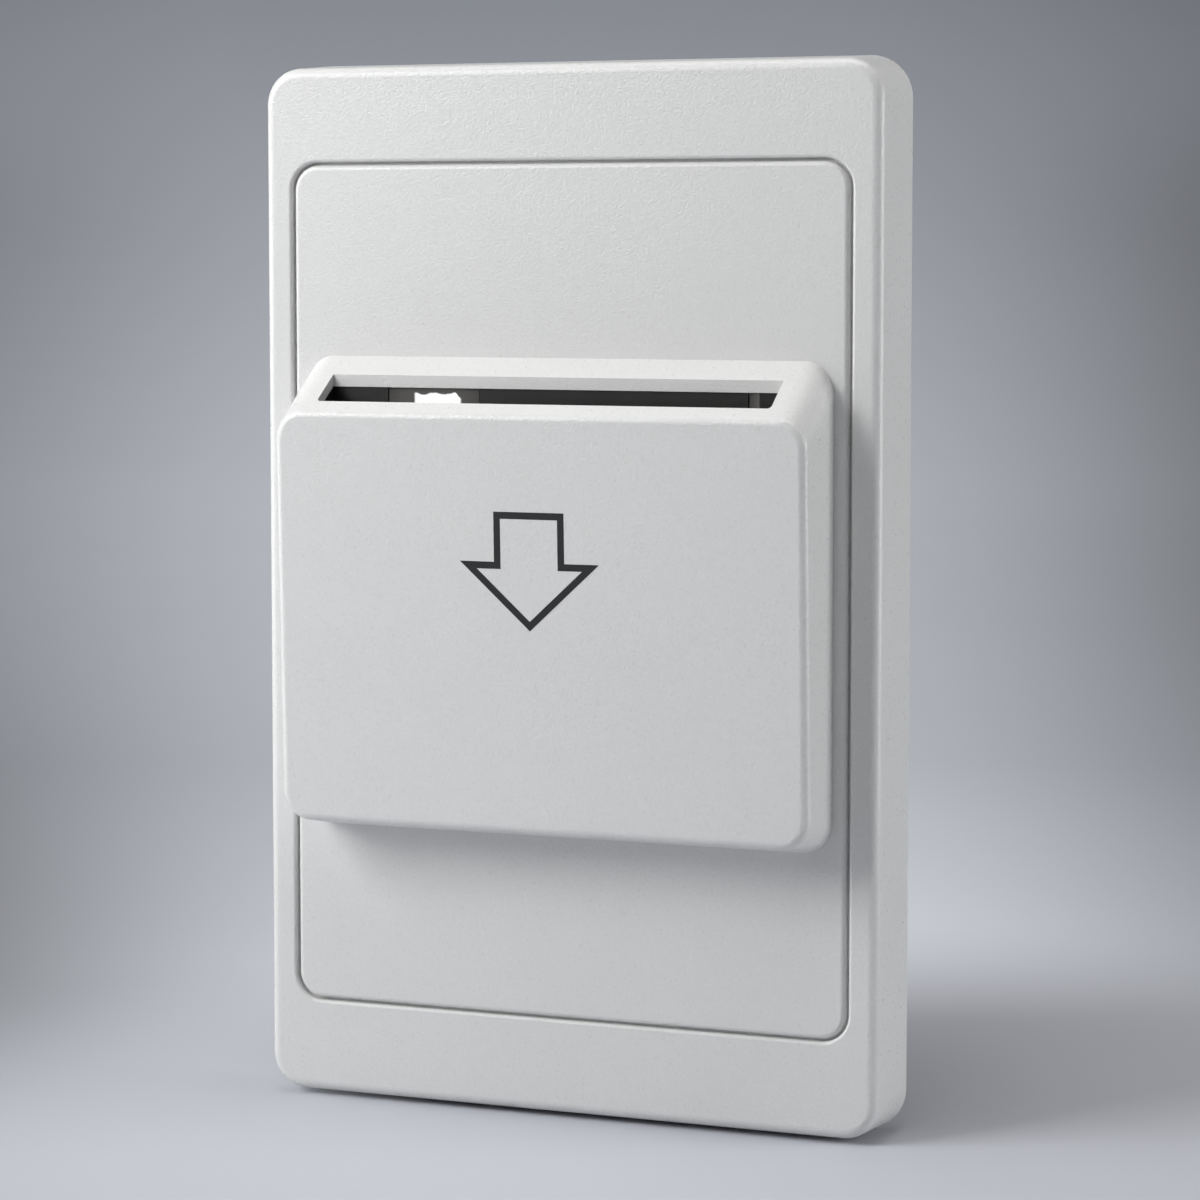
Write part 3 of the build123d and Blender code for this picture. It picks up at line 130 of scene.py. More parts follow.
class CardSwitchFixings(bpy.types.PropertyGroup):
    """Screws, rivets and the lever's spring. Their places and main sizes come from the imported
    solids."""

    plastic_lead: length_of(
        "Coarse thread", 0.9, "Rise of one turn on the screws that bite in plastic"
    )
    machine_lead: length_of("Fine thread", 0.5, "Rise of one turn on the terminal screws")
    cross_width: length_of("Cross width", 0.55, "Width of an arm of the cross recess")
    cross_depth: length_of("Cross depth", 0.95, "Depth of the cross recess in its middle")
    slot_width: length_of("Slot width", 0.7, "Width of the driver slot in a terminal screw")
    slot_depth: length_of("Slot depth", 0.8, "Depth of the driver slot in a terminal screw")
    wire: length_of("Spring wire", 0.4, "Diameter of the lever spring's wire")
    coil: length_of("Spring radius", 1.4, "Radius of the coil, to the middle of its wire")
    pivot_depth: length_of("Pivot depth", 4.6, "How far the lever's pin is in front of the wall")
    pivot_height: length_of("Pivot height", -20.6, "Height of the lever's pin", -60)


class CardSwitchStage(bpy.types.PropertyGroup):
    """Floor, lamps and camera."""

    floor_drop: length_of("Floor", 61.3, "Depth of the floor below the switch's middle")
    floor_radius: length_of("Floor radius", 900, "Radius of the flat floor")
    wall_radius: length_of("Wall radius", 1500, "Radius of the round backdrop")
    key_power: power_of("Key lamp", 1.7, "Power of the wide soft lamp at the upper left")
    left_power: power_of("Left edge lamp", 0.9, "Power of the lamp that whitens the left edges")
    top_power: power_of("Top lamp", 0.85, "Power of the lamp above")
    side_power: power_of("Upper left lamp", 0.12, "Power of the lamp above the left side")
    right_power: power_of("Right edge lamp", 1.04, "Power of the lamp that lights the right sides")
    sky: number_of("Sky", 0.05, "Strength of the even light from all round", min=0)
    lens: number_of("Lens", 106.228, "Focal length on a sensor 36 mm wide, in millimetres", min=1)
    place: bpy.props.FloatVectorProperty(
        name="Camera place",
        description="Where the camera stands",
        size=3,
        unit="LENGTH",
        default=(0.151187, -0.384990, 0.039353),
    )
    turn: number_of("Camera turn", 0.372377, "Camera's turn to the left", unit="ROTATION")
    dip: number_of("Camera dip", 0.078144, "How far the camera looks down", unit="ROTATION")
    rise: number_of("Camera shift", -0.06, "Upward shift of the lens, as a share of the picture")


# Node expressions


class Value:
    """A socket that can stand in a sum: + - * / ** on it add Math nodes."""

    def __init__(self, finish, socket):
        self.finish, self.socket = finish, socket

    def _sum(self, operation, first, second=0.0):
        return self.finish.add("ShaderNodeMath", {"operation": operation}, {0: first, 1: second})

    def __add__(self, other):
        return self._sum("ADD", self, other)

    __radd__ = __add__

    def __sub__(self, other):
        return self._sum("SUBTRACT", self, other)

    def __rsub__(self, other):
        return self._sum("SUBTRACT", other, self)

    def __mul__(self, other):
        return self._sum("MULTIPLY", self, other)

    __rmul__ = __mul__

    def __truediv__(self, other):
        return self._sum("DIVIDE", self, other)

    def __rtruediv__(self, other):
        return self._sum("DIVIDE", other, self)

    def __pow__(self, other):
        return self._sum("POWER", self, other)

    def __abs__(self):
        return self._sum("ABSOLUTE", self)

    def wrapped(self, length):
        """The value folded into steps of the length, from 0 up to it."""
        sockets = {0: self, 1: length, 2: 0.0}
        return self.finish.add("ShaderNodeMath", {"operation": "WRAP"}, sockets)

    def capped(self):
        """The value kept between 0 and 1."""
        return self.finish.add("ShaderNodeClamp", {}, {0: self, 1: 0.0, 2: 1.0})


class Finish:
    """A node material for one finish of the switch."""

    def __init__(self, name):
        self.material = bpy.data.materials.new(name)
        self.material.use_nodes = True
        self.tree = self.material.node_tree
        self.tree.nodes.clear()

    def add(self, kind, settings=None, sockets=None, out=0):
        """Adds a node: its settings first, then the values or links of its sockets. Returns one
        output."""
        node = self.tree.nodes.new(kind)
        for key, value in (settings or {}).items():
            if key == "stops":
                ramp = node.color_ramp
                while len(ramp.elements) < len(value):
                    ramp.elements.new(0.5)
                for element, (place, colour) in zip(ramp.elements, value):
                    element.position = place
                    element.color = (*colour, 1.0)
            else:
                setattr(node, key, value)
        for key, value in (sockets or {}).items():
            socket = node.inputs[key]
            if isinstance(value, Value):
                self.tree.links.new(value.socket, socket)
            elif socket.type == "RGBA" and len(value) == 3:
                socket.default_value = (*value, 1.0)
            else:
                socket.default_value = value
        return Value(self, node.outputs[out]) if node.outputs else None

    def place(self):
        """Object coordinates, which are the switch's own in metres."""
        return self.add("ShaderNodeTexCoord", {}, {}, out="Object")

    def split(self, vector):
        """The three parts of a vector."""
        node = self.add("ShaderNodeSeparateXYZ", {}, {0: vector}).socket.node
        return [Value(self, output) for output in node.outputs]

    def stretch(self, vector, shares):
        """A vector with each part times its share."""
        return self.add("ShaderNodeVectorMath", {"operation": "MULTIPLY"}, {0: vector, 1: shares})

    def noise(self, vector, size, detail=3.0, roughness=0.5, swirl=0.0):
        """Smooth noise whose lumps have about the given size, around 0.5."""
        sockets = {
            "Vector": vector,
            "Scale": 1 / size,
            "Detail": detail,
            "Roughness": roughness,
            "Distortion": swirl,
        }
        return self.add("ShaderNodeTexNoise", {}, sockets)

    def cells(self, vector, size, feature, spread):
        """Distance to the middles of squarish cells of the given size: F1 to the nearest middle,
        F2 to the next."""
        settings = {"feature": feature, "distance": "CHEBYCHEV"}
        sockets = {"Vector": vector, "Scale": 1 / size, "Randomness": spread}
        return self.add("ShaderNodeTexVoronoi", settings, sockets)

    def between(self, value, start, end):
        """0 before start and 1 after end, with soft ends."""
        sockets = {"Value": value, "From Min": start, "From Max": end, "To Min": 0.0, "To Max": 1.0}
        return self.add("ShaderNodeMapRange", {"interpolation_type": "SMOOTHSTEP"}, sockets)

    def inside(self, value, start, end, soft):
        """1 from start to end and 0 elsewhere, with edges of the given softness."""
        begun = self.between(value, start - soft, start + soft)
        return begun * (1 - self.between(value, end - soft, end + soft))

    def blend(self, share, first, second):
        """A colour between two colours, through a Mix node."""
        sockets = {0: share, 6: first, 7: second}
        return self.add("ShaderNodeMix", {"data_type": "RGBA"}, sockets, out=2)

    def bumps(self, height, depth):
        """A normal bent by a height that runs from 0 to 1 over the given depth."""
        return self.add("ShaderNodeBump", {}, {"Height": height, "Distance": depth})

    def surface(self, sockets):
        """The Principled surface as the material's output."""
        return self.shown(self.add("ShaderNodeBsdfPrincipled", {}, sockets))

    def shown(self, shader):
        self.add("ShaderNodeOutputMaterial", {}, {"Surface": shader})
        return self.material


# Finishes


def pale(colour, share, lift=0.0):
    """The colour times a share, lifted by a little."""
    return tuple(min(1.0, c * share + lift) for c in colour)


def grained_plastic(name, colour, grain, depth, roughness=0.3, drift=0.02):
    """Moulded plastic with a leathery grain: swirling lumps over finer pits, and a faint drift of
    tone."""
    f = Finish(name)
    place = f.place()
    lumps = f.noise(place, grain, 2.0, 0.6, 0.7)
    pits = f.noise(place, grain * 0.42, 1.0, 0.5)
    cloud = f.noise(place, 14 * MM, 3.0, 0.6)
    toned = f.between(cloud * 0.3 + lumps * 0.7, 0.32, 0.68)
    return f.surface(
        {
            "Base Color": f.blend(toned, pale(colour, 1 - drift), pale(colour, 1 + drift)),
            "Roughness": lumps * 0.16 + (roughness - 0.08),
            "Specular IOR Level": 0.55,
            "Normal": f.bumps(lumps * 0.75 + pits * 0.25, depth),
        }
    )


def smooth_plastic(name, colour, roughness, drift, flow=6 * MM, mask=None, other=None, metal=0.0):
    """Gloss moulded plastic: a tone that drifts along the flow of the mould, and faint dust in the
    gloss. A mask, made from the parts of the place, gives some of it another colour, and turns
    that much of it to metal."""
    f = Finish(name)
    place = f.place()
    flowing = f.noise(f.stretch(place, (1.0, 1.0, 0.35)), flow, 3.0, 0.55)
    dust = f.noise(place, 0.5 * MM, 2.0, 0.6)
    darker, lighter = pale(colour, 1 - drift), pale(colour, 1 + drift, 0.004)
    base = f.blend(f.between(flowing, 0.3, 0.7), darker, lighter)
    sockets = {
        "Roughness": dust * 0.16 + (roughness - 0.08),
        "Normal": f.bumps(flowing * 0.6 + dust * 0.1, 0.03 * MM),
    }
    if mask:
        share = mask(f, *f.split(place))
        base = f.blend(share, base, other)
        if metal:
            sockets["Metallic"] = share * metal
    return f.surface({"Base Color": base, **sockets})


def brushed_metal(name, colour, roughness, along, tarnish):
    """Metal with fine lines along one direction, and patches that are duller and tarnished."""
    f = Finish(name)
    place = f.place()
    lines = f.noise(f.stretch(place, along), 0.12 * MM, 2.0, 0.6)
    worn = f.between(f.noise(place, 2.2 * MM, 4.0, 0.6), 0.48, 0.72) * 0.3
    return f.surface(
        {
            "Base Color": f.blend(worn, colour, tarnish),
            "Metallic": 1.0 - worn * 0.25,
            "Roughness": lines * 0.14 + worn * 0.2 + (roughness - 0.07),
            "Normal": f.bumps(lines, 0.004 * MM),
        }
    )


def lit_window(name, colour, glow):
    """Frosted light guide: a patch on its left is lit from behind, with an uneven upper edge. The
    plastic round the patch and at the far right end glows faintly."""
    patch_left, patch_right, patch_top = -17.35 * MM, -11.6 * MM, 22.95 * MM
    corner_start, corner_end, corner_drop = -12.3 * MM, -11.5 * MM, 0.5 * MM
    haze_left, haze_right = -19.6 * MM, -10.4 * MM
    far_left, far_right = 24.0 * MM, 25.4 * MM
    ripple_height = 0.9 * MM
    f = Finish(name)
    place = f.place()
    across, _, up = f.split(place)
    ripple = f.noise(f.stretch(place, (1.0, 0.0, 0.0)), 1.3 * MM, 1.0, 0.4)
    lit_top = patch_top - f.between(across, corner_start, corner_end) * corner_drop
    lit_top = lit_top + (ripple - 0.5) * ripple_height
    lit = f.inside(across, patch_left, patch_right, 0.16 * MM)
    lit = lit * (1 - f.between(up - lit_top, -0.1 * MM, 0.1 * MM))
    haze = f.inside(across, haze_left, haze_right, 1.4 * MM)
    far = f.inside(across, far_left, far_right, 0.7 * MM)
    soft = f.noise(place, 1.1 * MM, 2.0, 0.5)
    faint = (haze * 0.025 + far * 0.05) * (soft * 0.5 + 0.7)
    dim = f.blend(faint, (0.0, 0.0, 0.0), glow)
    return f.surface(
        {
            "Base Color": f.blend(soft, pale(colour, 0.8), pale(colour, 1.2)),
            "Roughness": soft * 0.2 + 0.4,
            "Emission Color": f.blend(lit, dim, glow),
            "Emission Strength": 1.0,
            "Normal": f.bumps(soft, 0.02 * MM),
        }
    )


def board_green(name, mask, track):
    """Green solder mask: copper areas show paler through it, with gaps between them, over a faint
    glass weave."""
    area, spread = 4.8 * MM, 0.75
    f = Finish(name)
    place = f.place()
    wave = {"Vector": place, "Scale": 900.0, "Distortion": 0.4}
    weave = f.add("ShaderNodeTexWave", {"bands_direction": "X"}, wave)
    weave = weave + f.add("ShaderNodeTexWave", {"bands_direction": "Z"}, wave)
    flat = f.stretch(place, (1.0, 0.0, 1.0))
    second = f.cells(flat, area, "F2", spread)
    areas = f.between(second - f.cells(flat, area, "F1", spread), 0.10, 0.14)
    return f.surface(
        {
            "Base Color": f.blend(areas * (weave * 0.05 + 0.85), mask, track),
            "Roughness": weave * 0.06 + 0.24,
            "Normal": f.bumps(areas * 0.8 + weave * 0.1, 0.03 * MM),
        }
    )


def middle_of(node):
    """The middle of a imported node, as three numbers."""
    low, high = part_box(node)
    return [(a + b) / 2 for a, b in zip(low, high)]


def can_marks(f, across, back, up):
    """The pale stripe down one side of the can, and its bare metal end, which is three quarters as
    wide as the can. The stripe stops short of the end's rim."""
    mid = middle_of("electrolytic_capacitor")
    low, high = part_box("electrolytic_capacitor")
    radius = (high[0] - low[0]) / 2
    out = ((across - mid[0]) ** 2.0 + (up - mid[2]) ** 2.0) ** 0.5
    stripe = f.between(up - mid[2] - abs(across - mid[0]) * 2.2, 0.0, 0.1 * MM)
    end = 1 - f.between(out, radius * 0.74, radius * 0.76)
    end = end * f.between(back, high[1] - 0.5 * MM, high[1] - 0.4 * MM)
    return (stripe * f.between(out, radius * 0.9, radius * 0.92) + end).capped()


def chip_ends(f, across, _back, _up):
    """The tinned ends of the small resistors, which stand in two rows of four."""
    spacing, end, length = 4 * MM, 0.38 * MM, 2 * MM
    along = (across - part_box("surface_resistors")[0][0]).wrapped(spacing)
    return 1 - f.inside(along, end, length - end, 0.03 * MM)


def chip_legs(f, _across, _back, up):
    """The tinned legs above and below the chip's body."""
    half_body = 2.0 * MM
    return f.between(abs(up - middle_of("timer_chip")[2]), half_body, half_body + 0.03 * MM)


def resistor_bands(f, _across, _back, up):
    """Four painted bands round the big resistor, given by their lower edges in millimetres."""
    width, mid = 0.7, middle_of("power_resistor")
    bands = [
        f.inside(up - mid[2], start * MM, (start + width) * MM, 0.04 * MM)
        for start in (-2.4, -1.0, 0.4, 1.8)
    ]
    return (bands[0] + bands[1] + bands[2] + bands[3]).capped()


def make_finishes(p):
    """One finish for each material slot of the record, and a few for single nodes."""
    return {
        "plate_plastic": grained_plastic("plate_grain", tuple(p.plate), p.grain, p.grain_depth),
        # the liner's colour holds painted shade from the card slot as well as its dark plastic
        "liner_plastic": smooth_plastic("liner_dark_and_shaded", tuple(p.liner), 0.36, 0.10),
        "frosted_plastic": lit_window("window_frosted", tuple(p.frosted), tuple(p.glow)),
        "base_plastic": grained_plastic(
            "base_grain", tone(204, 205, 202), 0.6 * MM, 0.02 * MM, 0.46, 0.03
        ),
        "screw_steel": brushed_metal(
            "screw_zinc", tone(196, 198, 200), 0.3, (1.0, 0.08, 1.0), tone(150, 146, 128)
        ),
        "spring_steel": brushed_metal(
            "strip_steel", tone(176, 178, 182), 0.26, (0.06, 1.0, 1.0), tone(120, 110, 96)
        ),
        "board_green": board_green("board_mask", tone(20, 74, 44), tone(40, 104, 60)),
        "relay_case": smooth_plastic("relay_blue", tone(36, 92, 168), 0.28, 0.08),
        "capacitor_case": smooth_plastic("film_yellow", tone(214, 168, 40), 0.34, 0.06),
        "capacitor_sleeve": smooth_plastic(
            "can_sleeve", tone(30, 34, 44), 0.22, 0.08,
            mask=can_marks, other=tone(178, 180, 184), metal=0.9,
        ),
        "varistor_coat": smooth_plastic("disc_blue", tone(36, 74, 140), 0.38, 0.10, 2 * MM),
        "chip_case": smooth_plastic("chip_black", tone(34, 34, 36), 0.46, 0.12, 1.2 * MM),
        "resistor_coat": smooth_plastic(
            "resistor_coat", tone(96, 124, 122), 0.42, 0.08, 1.5 * MM,
            mask=resistor_bands, other=tone(120, 58, 34),
        ),
        "lamp_lens": smooth_plastic("lamp_lens", tone(238, 240, 236), 0.12, 0.02),
        "lever_plastic": smooth_plastic("lever_white", tone(218, 217, 210), 0.26, 0.03),
        "plunger_plastic": smooth_plastic("plunger_red", tone(178, 34, 26), 0.26, 0.06),
        "tinned_copper": brushed_metal(
            "tin_plate", tone(206, 204, 196), 0.34, (1.0, 0.2, 1.0), tone(160, 140, 110)
        ),
        "terminal_plastic": smooth_plastic("terminal_green", tone(40, 122, 66), 0.4, 0.07),
        "clamp_brass": brushed_metal(
            "clamp_brass", tone(214, 178, 96), 0.3, (1.0, 0.1, 1.0), tone(150, 110, 54)
        ),
        "timer_chip": smooth_plastic(
            "timer_case", tone(36, 36, 38), 0.46, 0.1, 1.2 * MM,
            mask=chip_legs, other=tone(190, 190, 188), metal=0.9,
        ),
        "surface_resistors": smooth_plastic(
            "resistor_chips", tone(30, 30, 34), 0.3, 0.1, 1.2 * MM,
            mask=chip_ends, other=tone(198, 198, 194), metal=0.9,
        ),
    }


# Surfaces


def grid_faces(rows, columns, close_rows=False):
    """Four-sided faces between neighbouring rows of points. The columns close on themselves, and
    the rows may."""
    row = np.arange(rows if close_rows else rows - 1)[:, None]
    column = np.arange(columns)[None, :]
    here, below = row * columns, (row + 1) % rows * columns
    beside = (column + 1) % columns
    corners = [here + column, here + beside, below + beside, below + column]
    return np.stack(corners, -1).reshape(-1, 4)


def closed_skin(rings):
    """Points and faces of rings joined in a row, with a middle point that closes each end."""
    rows, columns = rings.shape[:2]
    points = np.concatenate([rings.reshape(-1, 3), rings[:1].mean(1), rings[-1:].mean(1)])
    here = np.arange(columns)
    beside = (here + 1) % columns
    first = np.stack([np.full(columns, rows * columns), beside, here], -1)
    last = (rows - 1) * columns
    end = np.stack([np.full(columns, rows * columns + 1), last + here, last + beside], -1)
    return points, grid_faces(rows, columns), np.concatenate([first, end])


def repeated(skin, moves):
    """The same skin at several places, as one set of points and faces."""
    points, quads, fans = skin
    shift = np.arange(len(moves))[:, None, None] * len(points)
    return (
        (points[None] + np.asarray(moves, float)[:, None, :]).reshape(-1, 3),
        (quads[None] + shift).reshape(-1, 4),
        (fans[None] + shift).reshape(-1, 3),
    )


def joined(skins):
    """Several skins as one set of points and faces."""
    starts = np.cumsum([0] + [len(skin[0]) for skin in skins])
    return tuple(
        np.concatenate([skin[k] + (start if k else 0) for skin, start in zip(skins, starts)])
        for k in range(3)
    )


def outward(skin):
    """Turns the faces round if the volume that they hold comes out negative: a third of the sum,
    over the triangles, of a corner times the cross product of the sides."""
    points, quads, fans = skin
    corners = points[np.concatenate([quads[:, [0, 1, 2]], quads[:, [0, 2, 3]], fans])]
    volume = (corners[:, 0] * np.cross(corners[:, 1], corners[:, 2])).sum()
    return skin if volume > 0 else (points, quads[:, ::-1], fans[:, ::-1])


def placed(name, data):
    """An object for the data, in the scene at the origin."""
    thing = bpy.data.objects.new(name, data)
    bpy.context.scene.collection.objects.link(thing)
    return thing


def smooth_mesh(name, points, faces, finish):
    """A mesh with smooth faces and one finish."""
    mesh = bpy.data.meshes.new(name)
    mesh.from_pydata(points, [], faces)
    mesh.polygons.foreach_set("use_smooth", np.ones(len(mesh.polygons), bool))
    mesh.materials.append(finish)
    return mesh


def make_piece(name, skin, body, finish, stands_for=(), crease=180):
    """Makes a piece of points and faces, creased at edges sharper than an angle in degrees, and
    lets it ride on its body."""
    points, quads, fans = outward(skin)
    mesh = smooth_mesh(name, points.tolist(), quads.tolist() + fans.tolist(), finish)
    mesh.set_sharp_from_angle(angle=math.radians(crease))
    piece = placed(name, mesh)
    if body:
        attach(piece, body)
    if stands_for:
        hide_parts(*stands_for)
    return piece


def line_of(across, up):
    """A line of points from their two coordinates."""
    return np.stack([across, up], -1)


def turned(profile, columns):
    """A profile of radii and heights carried round its axis: (radius cos a, radius sin a,
    height)."""
    profile = np.asarray(profile, float)
    angle = (np.arange(columns) + 0.5) * 2 * math.pi / columns
    radius, height = profile[:, :1], profile[:, 1:]
    return np.stack([radius * np.cos(angle), radius * np.sin(angle), height + angle * 0], -1)


def standing(rings, place, out):
    """Rings made round an upright axis, set on the place (x, y, z) with their height along Y, out
    being 1 or -1."""
    x, y, z = place
    return np.stack([rings[..., 0] + x, y + out * rings[..., 2], rings[..., 1] + z], -1)


def screw_rings(head, height, shank, length, lead, arms, width, depth, reach, point):
    """Rings of a screw from the middle of its head to its end. Its recess reaches out to a radius,
    and with a point of 0 its end is flat.
    The head is a low dome, height times (1 - 0.12 r squared), that rounds over by a quarter of an
    ellipse at the rim. Arms of a recess are cut in it: on each ring the first half of an arm's
    points stand at angles up to arcsin(half its width / r) on the recess's floor, and the others
    on the dome. Down the shank the radius is the core's plus a ridge that climbs by the lead in
    each turn, and the last stretch narrows to the point."""
    # points for each arm, half an arm's share of the turn, and the recess's wall seen from above
    each = 12 if arms == 4 else 24
    half, lip = math.pi / arms, 0.05 * MM
    floor_limit, wall_limit = 0.92 * math.sin(half), 0.97 * math.sin(half)
    # the arms run together inside this radius
    merge = (width / 2 + lip) / wall_limit
    flat = 0.84 * head
    close = min(reach, flat)
    last = close * 0.985
    radius = np.concatenate(
        [
            merge * np.array([0.3, 0.65, 0.98, 1.03]),
            np.linspace(merge * 1.15, last, 4),
            [last + lip] if reach < flat else [],
            np.linspace(last + 2 * lip, flat, 3)[0 if reach < flat else 2 :],
            flat + (head - flat) * np.sin(np.linspace(0, math.pi / 2, 8)[1:]),
        ]
    )
    dome = height * (1 - 0.12 * (radius / head) ** 2)
    rim = radius > flat * 1.001
    fall = 1 - ((radius[rim] - flat) / (head - flat)) ** 2
    dome[rim] = dome[~rim][-1] * np.sqrt(np.clip(fall, 0, 1))
    floor = height - depth * (1 - (0.5 * radius / reach if arms == 4 else 0 * radius))
    inner = np.arcsin(np.minimum(width / 2 / radius, floor_limit))[:, None]
    outer = np.arcsin(np.minimum((width / 2 + lip) / radius, wall_limit))[:, None]
    step = np.linspace(0, 1, each // 2)[None, :]
    one_arm = np.concatenate([inner * (2 * step - 1), outer + step * (2 * half - 2 * outer)], 1)
    angle = np.concatenate([one_arm + arm * 2 * half for arm in range(arms)], 1)
    in_recess = (radius <= close * 0.986) if reach < flat else np.ones(len(radius), bool)
    carved = np.minimum(floor, dome)
    low = np.where(in_recess, carved, dome)[:, None] + 0 * step
    high = np.where(radius < merge, carved, dome)[:, None] + 0 * step
    level = np.tile(np.concatenate([low, high], 1), (1, arms))
    top = np.stack([radius[:, None] * np.cos(angle), radius[:, None] * np.sin(angle), level], -1)
    columns = angle.shape[1]
    even = np.arange(columns) * 2 * math.pi / columns + angle[-1, 0]
    down = np.concatenate([[0.0], np.linspace(0.02 * MM, length, int(length / lead * 10))])
    phase = (down[:, None] / lead + even / (2 * math.pi)) % 1
    ridge = np.clip(1 - abs(phase - 0.5) * (3.2 if point else 2.2), 0, 1)
    ridge *= np.clip(down / lead, 0, 1)[:, None]
    core = shank * (0.74 if point else 0.84)
    across = core + (shank - core) * ridge
    across *= np.clip(0.12 + (length - down) / point, 0, 1)[:, None] if point else 1
    depth = -down[:, None] + 0 * across
    stem = np.stack([across * np.cos(even), across * np.sin(even), depth], -1)
    return np.concatenate([top, stem])


def wire_rings(path, radius, last_side, sides=14):
    """A round wire: on each point of the path a circle square to it, whose first axis is square to
    X as well, or is the last side where the path itself runs along X."""
    ahead = np.gradient(path, axis=0)
    ahead /= np.linalg.norm(ahead, axis=1, keepdims=True)
    side = np.cross(ahead, [1.0, 0.0, 0.0])
    size = np.linalg.norm(side, axis=1, keepdims=True)
    side = np.where(size > 0.02, side / np.maximum(size, 1e-9), last_side)
    other = np.cross(ahead, side)
    angle = (np.arange(sides) * 2 * math.pi / sides)[None, :, None]
    return path[:, None] + radius * (np.cos(angle) * side[:, None] + np.sin(angle) * other[:, None])


def beside(path, distance, closed):
    """A line moved sideways: each point goes along its mitre, to where the two moved sides meet."""
    ahead = np.roll(path, -1, 0) - path
    if not closed:
        ahead[-1] = ahead[-2]
    ahead /= np.linalg.norm(ahead, axis=1, keepdims=True)
    behind = np.roll(ahead, 1, 0)
    if not closed:
        behind[0] = ahead[0]
    square = np.stack([behind[:, 1] + ahead[:, 1], -behind[:, 0] - ahead[:, 0]], -1)
    return path + square * (distance * 2 / (square * square).sum(1))[:, None]


def pocket_front(x, z):
    """The pocket's leaning front face: it goes back by the lean for each unit of height lost."""
    depth_at_middle, lean = 18.303 * MM, 0.03544
    return np.stack([x, -depth_at_middle - lean * z, z], -1)


def arrow_outline(p):
    """Seven corners of a block arrow that points down, from its shaft's top left."""
    half, head, mid = p.shaft_width / 2, p.head_width / 2, p.middle
    across = [mid - half, mid + half, mid + half, mid + head, mid, mid - head, mid - half]
    up = [p.top, p.top, p.shoulder, p.shoulder, p.tip, p.shoulder, p.shoulder]
    return line_of(across, up)


# Strokes of the numbers 1 to 4, as places (across, up) in units of the numbers' width
NUMERALS = (
    [[(0.2, 1.25), (0.55, 1.6), (0.55, 0.0)]],
    [
        [
            (0.02, 1.2), (0.14, 1.46), (0.42, 1.6), (0.74, 1.52),
            (0.92, 1.24), (0.84, 0.94), (0.05, 0.0), (1.0, 0.0),
        ]
    ],
    [
        [(0.05, 1.4), (0.35, 1.6), (0.72, 1.54), (0.88, 1.24), (0.74, 0.96), (0.4, 0.86)],
        [(0.4, 0.86), (0.8, 0.76), (0.98, 0.42), (0.8, 0.1), (0.42, 0.0), (0.02, 0.2)],
    ],
    [[(0.72, 0.0), (0.72, 1.6)], [(0.72, 1.6), (0.02, 0.42), (1.0, 0.42)]],
)


# Steps


def corners_of(node, inset):
    """The places (x, z) of like fixings at the corners of a node's box, with the box's depths."""
    low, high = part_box(node)
    across = sorted({round(low[0] + inset, 7), round(high[0] - inset, 7)})
    up = sorted({round(low[2] + inset, 6), round(high[2] - inset, 6)})
    return [(x, z) for x in across for z in up], low[1], high[1]


def finish_named(name):
    found = bpy.data.materials.get(name)
    if found is None:
        raise RuntimeError(f"the finish {name} isn't made yet: run Finish the parts first")
    return found


class CARD_OT_finishes(bpy.types.Operator):
    """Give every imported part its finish"""

    bl_idname = "card_switch.finishes"
    bl_label = "Finish the parts"

    def execute(self, context):
        made = make_finishes(context.scene.card_mouldings)
        slots = {s["node"]: s["material_slot"] for s in frame["record"]["subparts"]}
        for node, piece in frame["nodes"].items():
            for place in piece.material_slots:
                place.material = made.get(node, made[slots[node]])
        return {"FINISHED"}


class CARD_OT_arrow(bpy.types.Operator):
    """Print the outline arrow on the pocket's front"""

    bl_idname = "card_switch.arrow"
    bl_label = "Printed arrow"

    def execute(self, context):
        p = context.scene.card_arrow
        outer = arrow_outline(p)
        inner = beside(outer, p.line, True)
        rings = [(outer, 0.0), (outer, p.thickness), (inner, p.thickness), (inner, 0.0)]
        points = np.stack(
            [pocket_front(c[:, 0], c[:, 1]) - np.array([0, proud, 0]) for c, proud in rings], 1
        )
        quads = grid_faces(len(outer), 4, close_rows=True)
        skin = (points.reshape(-1, 3), quads, np.zeros((0, 3), int))
        colour = tuple(context.scene.card_mouldings.ink)
        ink = grained_plastic("print_ink", colour, 0.36 * MM, 0.01 * MM, 0.42, 0.06)
        make_piece("arrow_print", skin, "front_cover", ink, crease=30)
        return {"FINISHED"}


class CARD_OT_screws(bpy.types.Operator):
    """Replace the plain screws by ones with a cross recess and a thread"""

    bl_idname = "card_switch.screws"
    bl_label = "Cross-head screws"

    def execute(self, context):
        p = context.scene.card_fixings
        point, recess_share = 1.1 * MM, 0.62
        # the node, its body, the radius and height of the head, the shank's radius, and 1 where
        # the head is on the wall's side or -1 where it is on the room's
        kinds = (
            ("pocket_screws", "front_cover", 1.9 * MM, 1.3 * MM, 1.0 * MM, 1),
            ("housing_screws", "base", 2.2 * MM, 1.4 * MM, 1.2 * MM, -1),
            ("board_screws", "base", 1.9 * MM, 1.2 * MM, 1.1 * MM, -1),
        )
        finish = finish_named("screw_zinc")
        for node, body, head, height, shank, out in kinds:
            places, front, back = corners_of(node, head)
            seat = (back if out > 0 else front) - out * height
            rings = screw_rings(
                head, height, shank, back - front - height, p.plastic_lead, 4,
                p.cross_width, p.cross_depth, recess_share * head, point,
            )
            skin = closed_skin(standing(rings, (0.0, seat, 0.0), out))
            skin = repeated(skin, [(x, 0.0, z) for x, z in places])
            make_piece(node + "_cross", skin, body, finish, (node,), 32)
        return {"FINISHED"}


